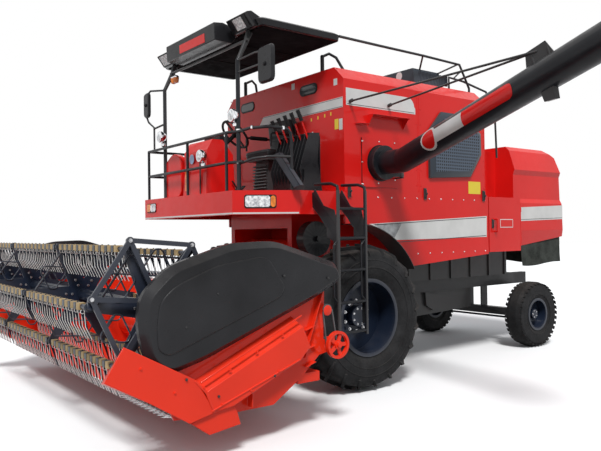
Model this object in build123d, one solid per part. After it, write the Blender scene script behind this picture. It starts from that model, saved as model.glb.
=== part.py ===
from build123d import *
import math
import os

# Self-propelled combine harvester with a pick-up reel header.
# Millimetres.  Working frame: +X the machine's left, +Y its rear, +Z up,
# zero on the ground under the middle of the front axle.
# Every piece is moved by ORIGIN_SHIFT on export, so that the part's own
# origin is the middle of its footprint on the ground.

# ---------- driving dimensions ----------
WHEELBASE = 3640
FRONT_TYRE_R = 772              # 18.4-30 drive tyre
FRONT_TYRE_W = 467
FRONT_RIM_R = 407
FRONT_TRACK_HALF = 1262
REAR_TYRE_R = 460               # 9.00-16 steering tyre
REAR_TYRE_W = 250
REAR_RIM_R = 229
REAR_TRACK_HALF = 950

BODY_HALF = 1200                # outer side of tank and shields
HULL_HALF = 640                 # thresher between the drive wheels
RAIL_HALF = 620
RAIL_W = 80
RAIL_LOW, RAIL_TOP = 880, 1040
SHEET = 12                      # body sheet with its folded rims

TANK_FRONT, TANK_REAR = -100, 1060
BAY_REAR = 2300                 # rear of the engine bay
SEAM_Z = 2110                   # floor of tank and engine bay
SIDE_TOP_FRONT, SIDE_TOP_REAR = 3320, 3410
TANK_TOP = 3466
TOP_BEVEL = 153

DECK_FRONT = -1300
DECK_RIGHT = -1220
DECK_TOP = 2100
DECK_SKIN = 40
FASCIA_LOW = 1856
CORNER_X, CORNER_Y = 870, -700  # where the fascia turns to the side

ROOF_HALF = 1115
ROOF_FRONT, ROOF_REAR = -1080, -100
ROOF_LOW, ROOF_TOP = 3730, 3800
POST_R = 22
RAIL_TUBE_R = 16

HOOD_HALF = 950
HOOD_FRONT, HOOD_REAR = 3300, 4500
HOOD_TOP = 2860
HOOD_LOW_FRONT, HOOD_LOW_REAR = 1420, 1560
CURTAIN_LOW = 1150

LIFT_Y, LIFT_Z = -150, 1350     # upper shaft of the feeder house
HEADER_HALF = 2150              # inner side of the header's end plates
END_PLATE = 20
COVER_OUT = 2300                # outer side of the end covers
TIP_Y = -3164                   # tip of the crop dividers

REEL_Y, REEL_Z = -2655, 1125    # centre shaft of the reel
REEL_R = 490                    # centre shaft to tine bars
RING_RISE = 60                  # eccentric ring above the reel's shaft
BATS = 6
BAT_PHASE = 55
REEL_HALF = 1990
BAT_R = 17
TINE_DROP, TINE_TRAIL = 225, 65
TINE_PITCH = 130
REEL_PIVOT_Y, REEL_PIVOT_Z = -1340, 1195

AUGER_Y, AUGER_Z = -1760, 690
AUGER_TUBE_R, AUGER_FLIGHT_R = 150, 265
TROUGH_R = 290
KNIFE_Y, KNIFE_Z = -2550, 345
FINGER_PITCH = 76.2
DRIVE_Y, DRIVE_Z = -1147, 725   # cross shaft behind the header
DRIVE_PULLEY_R = 115

UNLOAD_Y, UNLOAD_Z = 420, 2430  # middle of the unloading flange
UNLOAD_PIN_X, UNLOAD_PIN_Y = 1300, 665
UNLOAD_R = 130
UNLOAD_ELBOW_X = 1560
UNLOAD_TIP_X = 4450

FREE = 0.5                      # running clearance on a shaft, radius

ORIGIN_SHIFT = Vector(-(UNLOAD_TIP_X - COVER_OUT) / 2, -(TIP_Y + HOOD_REAR) / 2, 0)


# ---------- shapes used by many pieces ----------
def block(x0, x1, y0, y1, z0, z1):
    """Box between two corners."""
    box = Box(abs(x1 - x0), abs(y1 - y0), abs(z1 - z0))
    return Pos((x0 + x1) / 2, (y0 + y1) / 2, (z0 + z1) / 2) * box


def side_plate(outline, x0, x1):
    """Outline of (Y, Z) points, spread from x0 to x1."""
    wire = Polyline(*[(x0, y, z) for y, z in outline], close=True)
    return extrude(make_face(wire), amount=x1 - x0, dir=(1, 0, 0))


def cross_plate(outline, y0, y1):
    """Outline of (X, Z) points, spread from y0 to y1."""
    wire = Polyline(*[(x, y0, z) for x, z in outline], close=True)
    return extrude(make_face(wire), amount=y1 - y0, dir=(0, 1, 0))


def flat_plate(outline, z0, z1):
    """Outline of (X, Y) points, spread from z0 to z1."""
    wire = Polyline(*[(x, y, z0) for x, y in outline], close=True)
    return extrude(make_face(wire), amount=z1 - z0, dir=(0, 0, 1))


def rod(start, end, radius):
    """Round bar between two points."""
    start, end = Vector(*start), Vector(*end)
    plane = Plane(origin=start, z_dir=end - start)
    bar = Cylinder(radius, (end - start).length, align=(Align.CENTER, Align.CENTER, Align.MIN))
    return plane * bar


def bent_tube(points, radius):
    """Round tube along points, with a ball at each bend."""
    runs = [rod(a, b, radius) for a, b in zip(points, points[1:])]
    bends = [Pos(*p) * Sphere(radius) for p in points[1:-1]]
    return fuse(runs + bends)


def cross_cylinder(radius, x0, x1, y, z):
    """Cylinder lying across the machine."""
    return rod((x0, y, z), (x1, y, z), radius)


def ring_cylinder(outer, inner, x0, x1, y, z):
    """Cylinder across the machine with a bore."""
    return cross_cylinder(outer, x0, x1, y, z) - cross_cylinder(inner, x0 - 1, x1 + 1, y, z)


def bar(start, end, wide, thick):
    """Square-ended bar between two points, wide across X."""
    start, end = Vector(*start), Vector(*end)
    plane = Plane(origin=start, x_dir=(1, 0, 0), z_dir=end - start)
    return plane * Box(wide, thick, (end - start).length,
                       align=(Align.CENTER, Align.CENTER, Align.MIN))


def fuse(shapes):
    """One shape from several."""
    whole = shapes[0]
    for shape in shapes[1:]:
        whole = whole + shape
    return whole


def mirror_x(shape):
    return mirror(shape, about=Plane.YZ)


nodes = {}

# ---------- wheels ----------
RIM_WALL = 12
RIM_DISC_X = 1190               # where the front disc seats on the hub flange
RIM_DISC_T = 14
FRONT_SPINDLE_R = 75
REAR_DISC_X = 925
REAR_DISC_T = 10
REAR_SPINDLE_R = 32
HUB_WALL = 35


def tyre(radius, width, rim_radius, middle_x, lip):
    """Tyre about an axis along X: beads, flat sidewalls and a rounded crown."""
    half = width / 2
    seat = rim_radius - lip
    section = [
        (half * 0.80, seat), (half * 0.80, rim_radius + 3), (half, seat + (radius - seat) * 0.35),
        (half, radius - half * 0.45), (half * 0.82, radius - half * 0.12), (half * 0.45, radius),
    ]
    points = [(x, r) for x, r in section] + [(-x, r) for x, r in reversed(section)]
    wire = Polyline(*[(x, 0, r) for x, r in points], close=True)
    return Pos(middle_x, 0, 0) * revolve(make_face(wire), axis=Axis.X)


def rim(rim_radius, width, middle_x, lip, disc_x, disc_t, bore, hub_out):
    """Steel rim: barrel with turned flanges, disc and a capped hub on the spindle."""
    half = width * 0.40
    seat = rim_radius - lip - FREE
    barrel_line = [
        (half, seat), (half, rim_radius), (half + RIM_WALL, rim_radius), (half + RIM_WALL, seat - RIM_WALL),
    ]
    points = [(x, r) for x, r in barrel_line] + [(-x, r) for x, r in reversed(barrel_line)]
    wire = Polyline(*[(x, 0, r) for x, r in points], close=True)
    barrel = Pos(middle_x, 0, 0) * revolve(make_face(wire), axis=Axis.X)
    disc = cross_cylinder(seat - RIM_WALL + 1, disc_x, disc_x + disc_t, 0, 0)
    hub = cross_cylinder(bore + HUB_WALL, disc_x, hub_out, 0, 0)
    shaft_room = cross_cylinder(bore + FREE, disc_x - 1, hub_out - HUB_WALL, 0, 0)
    return barrel + disc + hub - shaft_room


FRONT_LIP, REAR_LIP = 26, 22
FRONT_HUB_OUT = 1300
REAR_HUB_OUT = 1010
front_tyre = tyre(FRONT_TYRE_R, FRONT_TYRE_W, FRONT_RIM_R, FRONT_TRACK_HALF, FRONT_LIP)
front_rim = rim(FRONT_RIM_R, FRONT_TYRE_W, FRONT_TRACK_HALF, FRONT_LIP,
                RIM_DISC_X, RIM_DISC_T, FRONT_SPINDLE_R, FRONT_HUB_OUT)
rear_tyre = tyre(REAR_TYRE_R, REAR_TYRE_W, REAR_RIM_R, REAR_TRACK_HALF, REAR_LIP)
rear_rim = rim(REAR_RIM_R, REAR_TYRE_W, REAR_TRACK_HALF, REAR_LIP,
               REAR_DISC_X, REAR_DISC_T, REAR_SPINDLE_R, REAR_HUB_OUT)
WHEELS = [                      # name, shape, Y, Z
    ("front_tyre", front_tyre, 0, FRONT_TYRE_R),
    ("front_rim", front_rim, 0, FRONT_TYRE_R),
    ("rear_tyre", rear_tyre, WHEELBASE, REAR_TYRE_R),
    ("rear_rim", rear_rim, WHEELBASE, REAR_TYRE_R),
]
for name, shape, y, z in WHEELS:
    nodes[name + "_left"] = Pos(0, y, z) * shape
    nodes[name + "_right"] = mirror_x(Pos(0, y, z) * shape)

# ---------- chassis ----------
AXLE_HALF_H = (RAIL_LOW - FRONT_TYRE_R)
FINAL_DRIVE_R = 190
FLANGE_X = 1180
CROSS_LOW = RAIL_LOW + 20
FRAME_FRONT, FRAME_REAR = -350, 3950
LIFT_PIN_Y, LIFT_PIN_Z = -190, 480      # foot of the header cylinders
LIFT_CYL_X = 380
LUG_SPREAD = 55
HITCH_Y, HITCH_Z = 4020, 900
HITCH_BORE_R = 15

axle_z = FRONT_TYRE_R
parts = [block(-720, 720, -110, 110, axle_z - AXLE_HALF_H, axle_z + AXLE_HALF_H)]
for side in (1, -1):
    parts.append(rod((side * 700, 0, axle_z), (side * 930, 0, axle_z), FINAL_DRIVE_R))
    parts.append(rod((side * 920, 0, axle_z), (side * FLANGE_X, 0, axle_z), 120))
    parts.append(rod((side * FLANGE_X, 0, axle_z), (side * (FRONT_HUB_OUT - HUB_WALL - 5), 0, axle_z), FRONT_SPINDLE_R))
    x = side * RAIL_HALF
    parts.append(block(x - RAIL_W / 2, x + RAIL_W / 2, FRAME_FRONT, FRAME_REAR, RAIL_LOW, RAIL_TOP))
    lug_x = side * LIFT_CYL_X
    for offset in (-LUG_SPREAD, LUG_SPREAD):
        parts.append(block(lug_x + offset - 8, lug_x + offset + 8, LIFT_PIN_Y - 40, -100,
                           LIFT_PIN_Z - 40, axle_z))
    parts.append(cross_cylinder(16, lug_x - LUG_SPREAD - 8, lug_x + LUG_SPREAD + 8, LIFT_PIN_Y, LIFT_PIN_Z))
for y in (FRAME_FRONT, 1200, 2800, WHEELBASE - 60, FRAME_REAR - 80):
    parts.append(block(-RAIL_HALF + RAIL_W / 2, RAIL_HALF - RAIL_W / 2, y, y + 80, CROSS_LOW, RAIL_TOP - 20))
parts.append(block(-60, 60, FRAME_REAR, HITCH_Y + 50, HITCH_Z - 12, HITCH_Z + 12))
chassis = fuse(parts)
nodes["chassis"] = chassis - Pos(0, HITCH_Y, HITCH_Z) * Cylinder(HITCH_BORE_R, 60)

# ---------- rear axle and its steering ----------
KINGPIN_X = 740
KINGPIN_R = 20
KNUCKLE_R = 42
REAR_BEAM_H, REAR_BEAM_W = 110, 110
KNUCKLE_GAP = 3
STEER_ARM = 170
STEER_PIN_X = KINGPIN_X     # arms straight back, so the tie rod stays parallel
TIE_Z = REAR_TYRE_R - 95

wz = REAR_TYRE_R
beam = block(-KINGPIN_X + 48, KINGPIN_X - 48, WHEELBASE - REAR_BEAM_W / 2, WHEELBASE + REAR_BEAM_W / 2,
             wz - REAR_BEAM_H / 2, wz + REAR_BEAM_H / 2)
parts = [beam]
for side in (1, -1):
    eye = Pos(side * KINGPIN_X, WHEELBASE, wz) * Cylinder(KNUCKLE_R + 10, REAR_BEAM_H)
    parts.append(eye - Pos(side * KINGPIN_X, WHEELBASE, wz) * Cylinder(KINGPIN_R + FREE, 400))
    hang_x = side * 130
    parts.append(block(hang_x - 12, hang_x + 12, WHEELBASE - 70, WHEELBASE + 70,
                       wz + REAR_BEAM_H / 2, CROSS_LOW))
parts.append(block(-142, 142, WHEELBASE - 60, WHEELBASE + 20, RAIL_LOW - 30, CROSS_LOW))
nodes["rear_axle"] = fuse(parts)

fork_z = REAR_BEAM_H / 2 + KNUCKLE_GAP
parts = [
    Pos(KINGPIN_X, WHEELBASE, wz) * Cylinder(KINGPIN_R, 2 * fork_z + 50),
    Pos(KINGPIN_X, WHEELBASE, wz + fork_z + 15) * Cylinder(KNUCKLE_R, 30),
    Pos(KINGPIN_X, WHEELBASE, wz - fork_z - 15) * Cylinder(KNUCKLE_R, 30),
    block(KINGPIN_X, KINGPIN_X + 85, WHEELBASE - 35, WHEELBASE + 35, wz + fork_z, wz + fork_z + 30),
    block(KINGPIN_X, KINGPIN_X + 85, WHEELBASE - 35, WHEELBASE + 35, wz - fork_z - 30, wz - fork_z),
    block(KINGPIN_X + 60, KINGPIN_X + 85, WHEELBASE - 35, WHEELBASE + 35, wz - fork_z - 30, wz + fork_z + 30),
    rod((KINGPIN_X + 70, WHEELBASE, wz), (REAR_DISC_X - 5, WHEELBASE, wz), 50),
    rod((REAR_DISC_X - 10, WHEELBASE, wz), (REAR_HUB_OUT - HUB_WALL - 5, WHEELBASE, wz), REAR_SPINDLE_R),
    flat_plate([(KINGPIN_X - 25, WHEELBASE), (KINGPIN_X + 25, WHEELBASE),
                (STEER_PIN_X + 25, WHEELBASE + STEER_ARM + 25),
                (STEER_PIN_X - 25, WHEELBASE + STEER_ARM + 25)], wz - fork_z - 30, wz - fork_z - 12),
    Pos(STEER_PIN_X, WHEELBASE + STEER_ARM, TIE_Z - 5) * Cylinder(12, 60),
]
knuckle = fuse(parts)
nodes["knuckle_left"] = knuckle
nodes["knuckle_right"] = mirror_x(knuckle)

tie_y = WHEELBASE + STEER_ARM
parts = [rod((-STEER_PIN_X + 20, tie_y, TIE_Z - 20), (STEER_PIN_X - 20, tie_y, TIE_Z - 20), 16)]
for side in (1, -1):
    end = Pos(side * STEER_PIN_X, tie_y, TIE_Z - 20) * Cylinder(26, 26)
    parts.append(end)
tie_rod = fuse(parts)
for side in (1, -1):
    tie_rod -= Pos(side * STEER_PIN_X, tie_y, TIE_Z - 20) * Cylinder(12 + FREE, 60)
nodes["tie_rod"] = tie_rod

# ---------- thresher hull, shields and fenders ----------
MOUTH_HALF, MOUTH_LOW, MOUTH_TOP, MOUTH_REAR = 560, RAIL_TOP + 20, 1720, 160
LIFT_PIN_R = 45
SHOE_TOP = 1450
SHOE_HALF = 780
RIB_DEEP = 20
hull = side_plate([(-240, RAIL_TOP), (1150, RAIL_TOP), (1150, SHOE_TOP + 10), (BAY_REAR, SHOE_TOP + 10),
                   (BAY_REAR, SEAM_Z), (TANK_FRONT, SEAM_Z), (TANK_FRONT, DECK_TOP - DECK_SKIN),
                   (-300, DECK_TOP - DECK_SKIN), (-400, 1880), (-400, 1230)], -HULL_HALF, HULL_HALF)
hull -= block(-MOUTH_HALF, MOUTH_HALF, -401, MOUTH_REAR, MOUTH_LOW, MOUTH_TOP)
hull -= cross_cylinder(LIFT_PIN_R + FREE, -HULL_HALF + 20, HULL_HALF - 20, LIFT_Y, LIFT_Z)
nodes["thresher_hull"] = hull

ARCH_R = 980
FENDER_T = 8
SHIELD_LOW_FRONT, SHIELD_LOW_REAR = 1258, 1363
FENDER_IN = FRONT_TRACK_HALF - FRONT_TYRE_W / 2 - 10
FENDER_ARC = (28, 92)
shield = side_plate([(TANK_FRONT, 900), (855, SHIELD_LOW_FRONT), (2350, SHIELD_LOW_REAR),
                     (2350, SEAM_Z), (TANK_FRONT, SEAM_Z)], BODY_HALF - 30, BODY_HALF)
shield -= cross_cylinder(ARCH_R + FENDER_T, BODY_HALF - 40, BODY_HALF + 10, 0, FRONT_TYRE_R)
fender = ring_cylinder(ARCH_R + FENDER_T, ARCH_R, FENDER_IN, BODY_HALF + 90, 0, FRONT_TYRE_R)
reach = 1500
keep_points = [(0, FRONT_TYRE_R)]
for angle in (FENDER_ARC[0], 60, FENDER_ARC[1]):
    keep_points.append((reach * math.cos(math.radians(angle)),
                        FRONT_TYRE_R + reach * math.sin(math.radians(angle))))
fender = fender & side_plate(keep_points, FENDER_IN - 10, BODY_HALF + 100)
nodes["side_shields"] = shield + mirror_x(shield)
nodes["fenders"] = fender + mirror_x(fender)

# ---------- grain tank and engine bay ----------
def upper_section(y0, y1, inset):
    """Upper body with bevelled top edges, between two Y planes, shrunk by inset."""
    half = BODY_HALF - inset
    top = TANK_TOP - inset
    low = SEAM_Z + inset
    outline = [(-half, low), (half, low), (half, SIDE_TOP_FRONT - inset), (half - TOP_BEVEL, top),
               (-half + TOP_BEVEL, top), (-half, SIDE_TOP_FRONT - inset)]
    return cross_plate(outline, y0, y1)


TANK_MOUTH_HALF = 900
tank = upper_section(TANK_FRONT, TANK_REAR, 0) - upper_section(TANK_FRONT + SHEET, TANK_REAR - SHEET, SHEET)
tank -= block(-TANK_MOUTH_HALF, TANK_MOUTH_HALF, TANK_FRONT + 120, TANK_REAR - 120, TANK_TOP - 60, TANK_TOP + 10)
COLLAR_R = 190
COLLAR_X = 1280
plate = block(BODY_HALF, BODY_HALF + 12, UNLOAD_Y - 275, UNLOAD_Y + 275, UNLOAD_Z - 270, UNLOAD_Z + 270)
collar = cross_cylinder(COLLAR_R, BODY_HALF + 12, COLLAR_X, UNLOAD_Y, UNLOAD_Z)
PIN_R = 14
KNUCKLES_Z = ((-150, -90), (90, 150))   # moving hinge eyes about the flange's middle
pin = Pos(UNLOAD_PIN_X, UNLOAD_PIN_Y, UNLOAD_Z) * Cylinder(PIN_R, 330)
lugs = [block(BODY_HALF + 12, UNLOAD_PIN_X + 15, UNLOAD_PIN_Y - 18, UNLOAD_PIN_Y + 18,
              UNLOAD_Z + low, UNLOAD_Z + top) for low, top in ((-165, -153), (-87, 87), (153, 165))]
nodes["grain_tank"] = tank
nodes["unloader_flange"] = fuse([plate, collar, pin] + lugs)

bay = upper_section(TANK_REAR, BAY_REAR, 0) - upper_section(TANK_REAR + SHEET, BAY_REAR - SHEET, SHEET)
nodes["engine_bay"] = bay
nodes["engine"] = block(-380, 380, 1250, 2050, SEAM_Z + SHEET, 3150)

SCREEN_T = 30
screen_line = [(1221, 2298), (1970, 2340), (2190, 2630), (2183, 2898), (1814, 3105), (1441, 3105), (1221, 2869)]
nodes["radiator_screen"] = side_plate(screen_line, BODY_HALF, BODY_HALF + SCREEN_T)

cover = cross_plate([(-900, TANK_TOP), (900, TANK_TOP), (860, 3700), (-860, 3700)], 1340, 1830)
nodes["engine_cover"] = cover

# ---------- operator's deck ----------
deck_line = [(DECK_RIGHT, TANK_FRONT), (DECK_RIGHT, DECK_FRONT), (CORNER_X, DECK_FRONT),
             (BODY_HALF, CORNER_Y), (BODY_HALF, TANK_FRONT)]
deck_inner = [(DECK_RIGHT + 20, TANK_FRONT + 1), (DECK_RIGHT + 20, DECK_FRONT + 20), (CORNER_X - 12, DECK_FRONT + 20),
              (BODY_HALF - 20, CORNER_Y - 6), (BODY_HALF - 20, TANK_FRONT + 1)]
deck = flat_plate(deck_line, FASCIA_LOW, DECK_TOP) - flat_plate(deck_inner, FASCIA_LOW - 1, DECK_TOP - DECK_SKIN)
nodes["deck"] = deck

console = side_plate([(-1180, DECK_TOP), (-800, DECK_TOP), (-830, 2560), (-960, 2720), (-1090, 2720),
                      (-1160, 2600)], -420, 120)
column = rod((-150, -900, 2600), (-150, -640, 2830), 24)
wheel_plane = Plane(origin=(-150, -630, 2840), z_dir=(0, 260, 230))
steering_wheel = wheel_plane * Torus(190, 14) + wheel_plane * Box(360, 30, 12) + wheel_plane * Cylinder(45, 30)
nodes["steering_console"] = console - column
nodes["steering_wheel"] = column + steering_wheel

parts = [block(500, 1100, -560, -300, DECK_TOP, 2330)]
for step in range(5):
    x = 530 + step * 118
    parts.append(side_plate([(-600, 2330), (-300, 2330), (-300, 2720), (-420, 2720)], x, x + 86))
nodes["lever_stand"] = fuse(parts)

seat_x = 180
parts = [block(seat_x - 240, seat_x + 240, -560, -140, 2520, 2620),
         block(seat_x - 230, seat_x + 230, -240, -140, 2620, 2960)]
parts.append(block(seat_x - 150, seat_x + 150, -500, -200, DECK_TOP, 2520))
nodes["seat"] = fuse(parts)

POST_X, POST_Y = 840, -1200
parts = []
for side in (1, -1):
    x = side * POST_X
    parts.append(bent_tube([(x, POST_Y, DECK_TOP), (x, POST_Y, 3420), (x, -1040, ROOF_LOW)], POST_R))
    parts.append(bent_tube([(side * 800, -60, TANK_TOP), (side * 800, -60, 3640), (side * 800, -130, ROOF_LOW)], POST_R))
roof = block(-ROOF_HALF, ROOF_HALF, ROOF_FRONT, ROOF_REAR, ROOF_LOW, ROOF_TOP)
visor = side_plate([(-1450, 3690), (ROOF_FRONT, 3730), (ROOF_FRONT, 3870), (-1420, 3860)], -840, 840)
nodes["canopy"] = roof + visor

RAIL_LEVELS = (2390, 2700)
rail_parts = parts
right_x = -1180
for z in RAIL_LEVELS:
    rail_parts.append(bent_tube([(900, -1190, z), (700, -1260, z), (right_x, -1260, z), (right_x, -300, z)], RAIL_TUBE_R))
for x, y in ((right_x, -1260), (right_x, -300), (-150, -1260), (700, -1260)):
    rail_parts.append(rod((x, y, DECK_TOP), (x, y, RAIL_LEVELS[1]), RAIL_TUBE_R))
nodes["deck_frame"] = fuse(rail_parts) - nodes["canopy"]

# ---------- ladder ----------
LADDER_X = 1600
LADDER_Y = (-540, -180)
LADDER_R = 18
RUNG_R = 14
parts = []
for y in LADDER_Y:
    parts.append(rod((LADDER_X, y, 640), (LADDER_X, y, 2080), LADDER_R))
    parts.append(cross_plate([(BODY_HALF, 1980), (BODY_HALF, 2080), (LADDER_X - 8, 1720), (LADDER_X - 8, 1560)], y - 6, y + 6))
for z in (677, 973, 1291, 1609, 1900):
    parts.append(rod((LADDER_X, LADDER_Y[0], z), (LADDER_X, LADDER_Y[1], z), RUNG_R))
nodes["ladder"] = fuse(parts)

# ---------- straw hood, curtain, tool box, fuel tank, cleaning shoe ----------
HOOD_SHEET = 14
hood_half_line = [(900, 1400), (HOOD_HALF, 1660), (HOOD_HALF, 2050), (HOOD_HALF - 30, 2110),
                  (HOOD_HALF - 30, 2450), (HOOD_HALF, 2520), (860, 2800), (800, HOOD_TOP)]


def hood_section(inset, y0, y1):
    """Hood walls with their two long side creases, shrunk by inset."""
    right = [(-x, z) for x, z in reversed(hood_half_line)]
    outline = [(x - math.copysign(inset, x), z - (inset if z > 2700 else 0)) for x, z in hood_half_line + right]
    return cross_plate(outline, y0, y1)


hood = hood_section(0, HOOD_FRONT, HOOD_REAR)
hood_side = [(HOOD_FRONT - 1, HOOD_LOW_FRONT), (HOOD_REAR, HOOD_LOW_REAR), (HOOD_REAR - 45, 2500),
             (HOOD_REAR - 90, 2750), (4200, HOOD_TOP + 1), (HOOD_FRONT - 1, HOOD_TOP + 1)]
hood = hood & side_plate(hood_side, -1000, 1000)
hood_inside = hood_section(HOOD_SHEET, HOOD_FRONT + HOOD_SHEET, HOOD_REAR)
inside_side = [(HOOD_FRONT, 1300), (HOOD_REAR - HOOD_SHEET, 1300), (HOOD_REAR - HOOD_SHEET, HOOD_LOW_REAR),
               (HOOD_REAR - 45 - HOOD_SHEET, 2500), (HOOD_REAR - 90 - HOOD_SHEET, 2740),
               (4195, HOOD_TOP - HOOD_SHEET), (HOOD_FRONT, HOOD_TOP - HOOD_SHEET)]
hood -= hood_inside & side_plate(inside_side, -1000, 1000)
WALKER_HALF = 620
walker = block(-WALKER_HALF, WALKER_HALF, BAY_REAR, HOOD_FRONT, SHOE_TOP + 10, 2800)
nodes["rear_hood"] = hood + walker

curtain_outer = block(-935, 935, 3480, 4485, CURTAIN_LOW, 1400)
curtain_inner = block(-920, 920, 3479, 4470, CURTAIN_LOW - 1, 1401)
nodes["rear_curtain"] = curtain_outer - curtain_inner

BOX_FRONT, BOX_REAR = 2370, 3050
BOX_LOW, BOX_TOP = 1385, 2100
BOX_IN = SHOE_HALF + RIB_DEEP
DOOR_T = 14
box = block(BOX_IN, BODY_HALF - DOOR_T - 4, BOX_FRONT, BOX_REAR, BOX_LOW, BOX_TOP)
box -= block(BOX_IN + SHEET, BODY_HALF, BOX_FRONT + SHEET, BOX_REAR - SHEET, BOX_LOW + SHEET, BOX_TOP - SHEET)
DOOR_HINGE_X = BODY_HALF - DOOR_T / 2
DOOR_HINGE_R = 9
hinge = Pos(DOOR_HINGE_X, BOX_REAR + 14, (BOX_LOW + BOX_TOP) / 2) * Cylinder(DOOR_HINGE_R - 3, 560)
tab = block(BODY_HALF - 60, DOOR_HINGE_X, BOX_REAR, BOX_REAR + 14, BOX_LOW + 80, BOX_LOW + 110)
tab2 = block(BODY_HALF - 60, DOOR_HINGE_X, BOX_REAR, BOX_REAR + 14, BOX_TOP - 110, BOX_TOP - 80)
nodes["tool_box"] = box + hinge + tab + tab2
door = block(BODY_HALF - DOOR_T, BODY_HALF, BOX_FRONT, BOX_REAR, BOX_LOW, BOX_TOP)
for z in (BOX_LOW + 160, BOX_TOP - 160):
    knuckle_eye = Pos(DOOR_HINGE_X, BOX_REAR + 14, z) * Cylinder(DOOR_HINGE_R + 3, 60)
    door += block(BODY_HALF - DOOR_T, BODY_HALF, BOX_REAR - 1, BOX_REAR + 8, z - 30, z + 30) + knuckle_eye
door -= Pos(DOOR_HINGE_X, BOX_REAR + 14, (BOX_LOW + BOX_TOP) / 2) * Cylinder(DOOR_HINGE_R - 3 + FREE, 700)
grip_y = BOX_FRONT + 110
door += bent_tube([(BODY_HALF - 2, grip_y, 1650), (BODY_HALF + 45, grip_y, 1650), (BODY_HALF + 45, grip_y, 1810),
                   (BODY_HALF - 2, grip_y, 1810)], 10)
nodes["tool_box_door"] = door

nodes["fuel_tank"] = block(-BODY_HALF + 20, -BOX_IN, BOX_FRONT, BOX_REAR, BOX_LOW, BOX_TOP)

shoe = block(-SHOE_HALF, SHOE_HALF, 1160, HOOD_FRONT, RAIL_TOP, SHOE_TOP)
shoe_ribs = [block(SHOE_HALF, SHOE_HALF + RIB_DEEP, y - 20, y + 20, RAIL_TOP, SHOE_TOP)
             for y in (1300, 1700, 2100, 2500, 2900, 3260)]
shoe_ribs += [mirror_x(rib) for rib in shoe_ribs]
FAN_Y, FAN_Z, FAN_R = 760, 770, 250
fan_half = RAIL_HALF - RAIL_W / 2 - 20
fan = cross_cylinder(FAN_R, -fan_half, fan_half, FAN_Y, FAN_Z)
fan += side_plate([(FAN_Y, FAN_Z - FAN_R), (2780, 600), (2780, CROSS_LOW), (FAN_Y, CROSS_LOW)], -fan_half, fan_half)
nodes["cleaning_shoe"] = Part() + [fuse([shoe] + shoe_ribs), fan]

VARIATOR_Y, VARIATOR_Z, VARIATOR_R = -280, 1600, 190
parts = [rod((HULL_HALF, VARIATOR_Y, VARIATOR_Z), (980, VARIATOR_Y, VARIATOR_Z), 30),
         rod((820, VARIATOR_Y, VARIATOR_Z), (940, VARIATOR_Y, VARIATOR_Z), VARIATOR_R)]
drive_pulley = fuse(parts)
guard = side_plate([(1800, 860), (1820, 690), (1960, 610), (2120, 680), (2110, 800)], fan_half, fan_half + 40)
nodes["side_drives"] = Part() + [drive_pulley, guard]

# ---------- feeder house and header ----------
FEEDER_HALF = 520
DRUM_R = 240
FEEDER_FRONT = -1200
ADAPTER_T = 40
feeder = side_plate([(FEEDER_FRONT, 440), (FEEDER_FRONT, 1080), (-330, 1510), (LIFT_Y, 1540), (LIFT_Y, 1160),
                     (-330, 1140)], -FEEDER_HALF, FEEDER_HALF)
feeder += cross_cylinder(DRUM_R, -FEEDER_HALF, FEEDER_HALF, LIFT_Y, LIFT_Z)
feeder += cross_cylinder(LIFT_PIN_R, -HULL_HALF + 25, HULL_HALF - 25, LIFT_Y, LIFT_Z)
EYE_Y, EYE_Z = -860, 630
for side in (1, -1):
    for offset in (-45, 45):
        x = side * LIFT_CYL_X + offset
        feeder += side_plate([(EYE_Y - 40, EYE_Z - 40), (EYE_Y + 40, EYE_Z - 40), (EYE_Y + 90, EYE_Z + 170),
                              (EYE_Y - 90, EYE_Z + 60)], x - 8, x + 8)
    feeder += cross_cylinder(14, side * LIFT_CYL_X - 53, side * LIFT_CYL_X + 53, EYE_Y, EYE_Z)

END_LINE = [(-1192, 1229), (-1213, 675), (-1443, 480), (-1730, 299), (-2159, 299), (-2600, 330), (-2700, 560),
            (-2880, 760), (-2500, 900), (-1909, 1180), (-1350, 1260)]
end_plate = side_plate(END_LINE, HEADER_HALF, HEADER_HALF + END_PLATE)
bracket = side_plate([(-1220, 780), (-1080, 780), (-1080, 670), (-1250, 640)], HEADER_HALF, HEADER_HALF + END_PLATE)
end_plate = end_plate + bracket
SHAFT_R = 20
PIVOT_R = 35
end_plate -= cross_cylinder(SHAFT_R + FREE, 2000, 2400, DRIVE_Y, DRIVE_Z)
end_plate -= cross_cylinder(PIVOT_R + FREE, 2000, 2400, REEL_PIVOT_Y, REEL_PIVOT_Z)
end_plate -= cross_cylinder(SHAFT_R + FREE, 2000, 2400, AUGER_Y, AUGER_Z)
trough_outer = ring_cylinder(TROUGH_R + SHEET, TROUGH_R, -HEADER_HALF, HEADER_HALF, AUGER_Y, AUGER_Z)
trough_keep = side_plate([(AUGER_Y, AUGER_Z), (AUGER_Y, 300), (-1400, 300), (-1400, AUGER_Z)],
                         -HEADER_HALF, HEADER_HALF)
trough = trough_outer & trough_keep
floor_back = AUGER_Z - TROUGH_R
pan = side_plate([(AUGER_Y + 2, floor_back), (KNIFE_Y, KNIFE_Z), (KNIFE_Y, KNIFE_Z - SHEET),
                  (AUGER_Y + 2, floor_back - SHEET)], -HEADER_HALF, HEADER_HALF)
wall_y = AUGER_Y + TROUGH_R
back = side_plate([(wall_y, AUGER_Z - 4), (wall_y + SHEET, AUGER_Z - 4), (-1400 + SHEET, 1130), (-1400, 1130)],
                  -HEADER_HALF, HEADER_HALF)
beam = block(-HEADER_HALF, HEADER_HALF, -1390, FEEDER_FRONT - ADAPTER_T, 1030, 1130)
low_beam = block(-HEADER_HALF, HEADER_HALF, -1470, FEEDER_FRONT - ADAPTER_T, 420, 500)
header = fuse([trough, pan, back, beam, low_beam, end_plate, mirror_x(end_plate)])
FEED_HALF = 480
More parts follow.
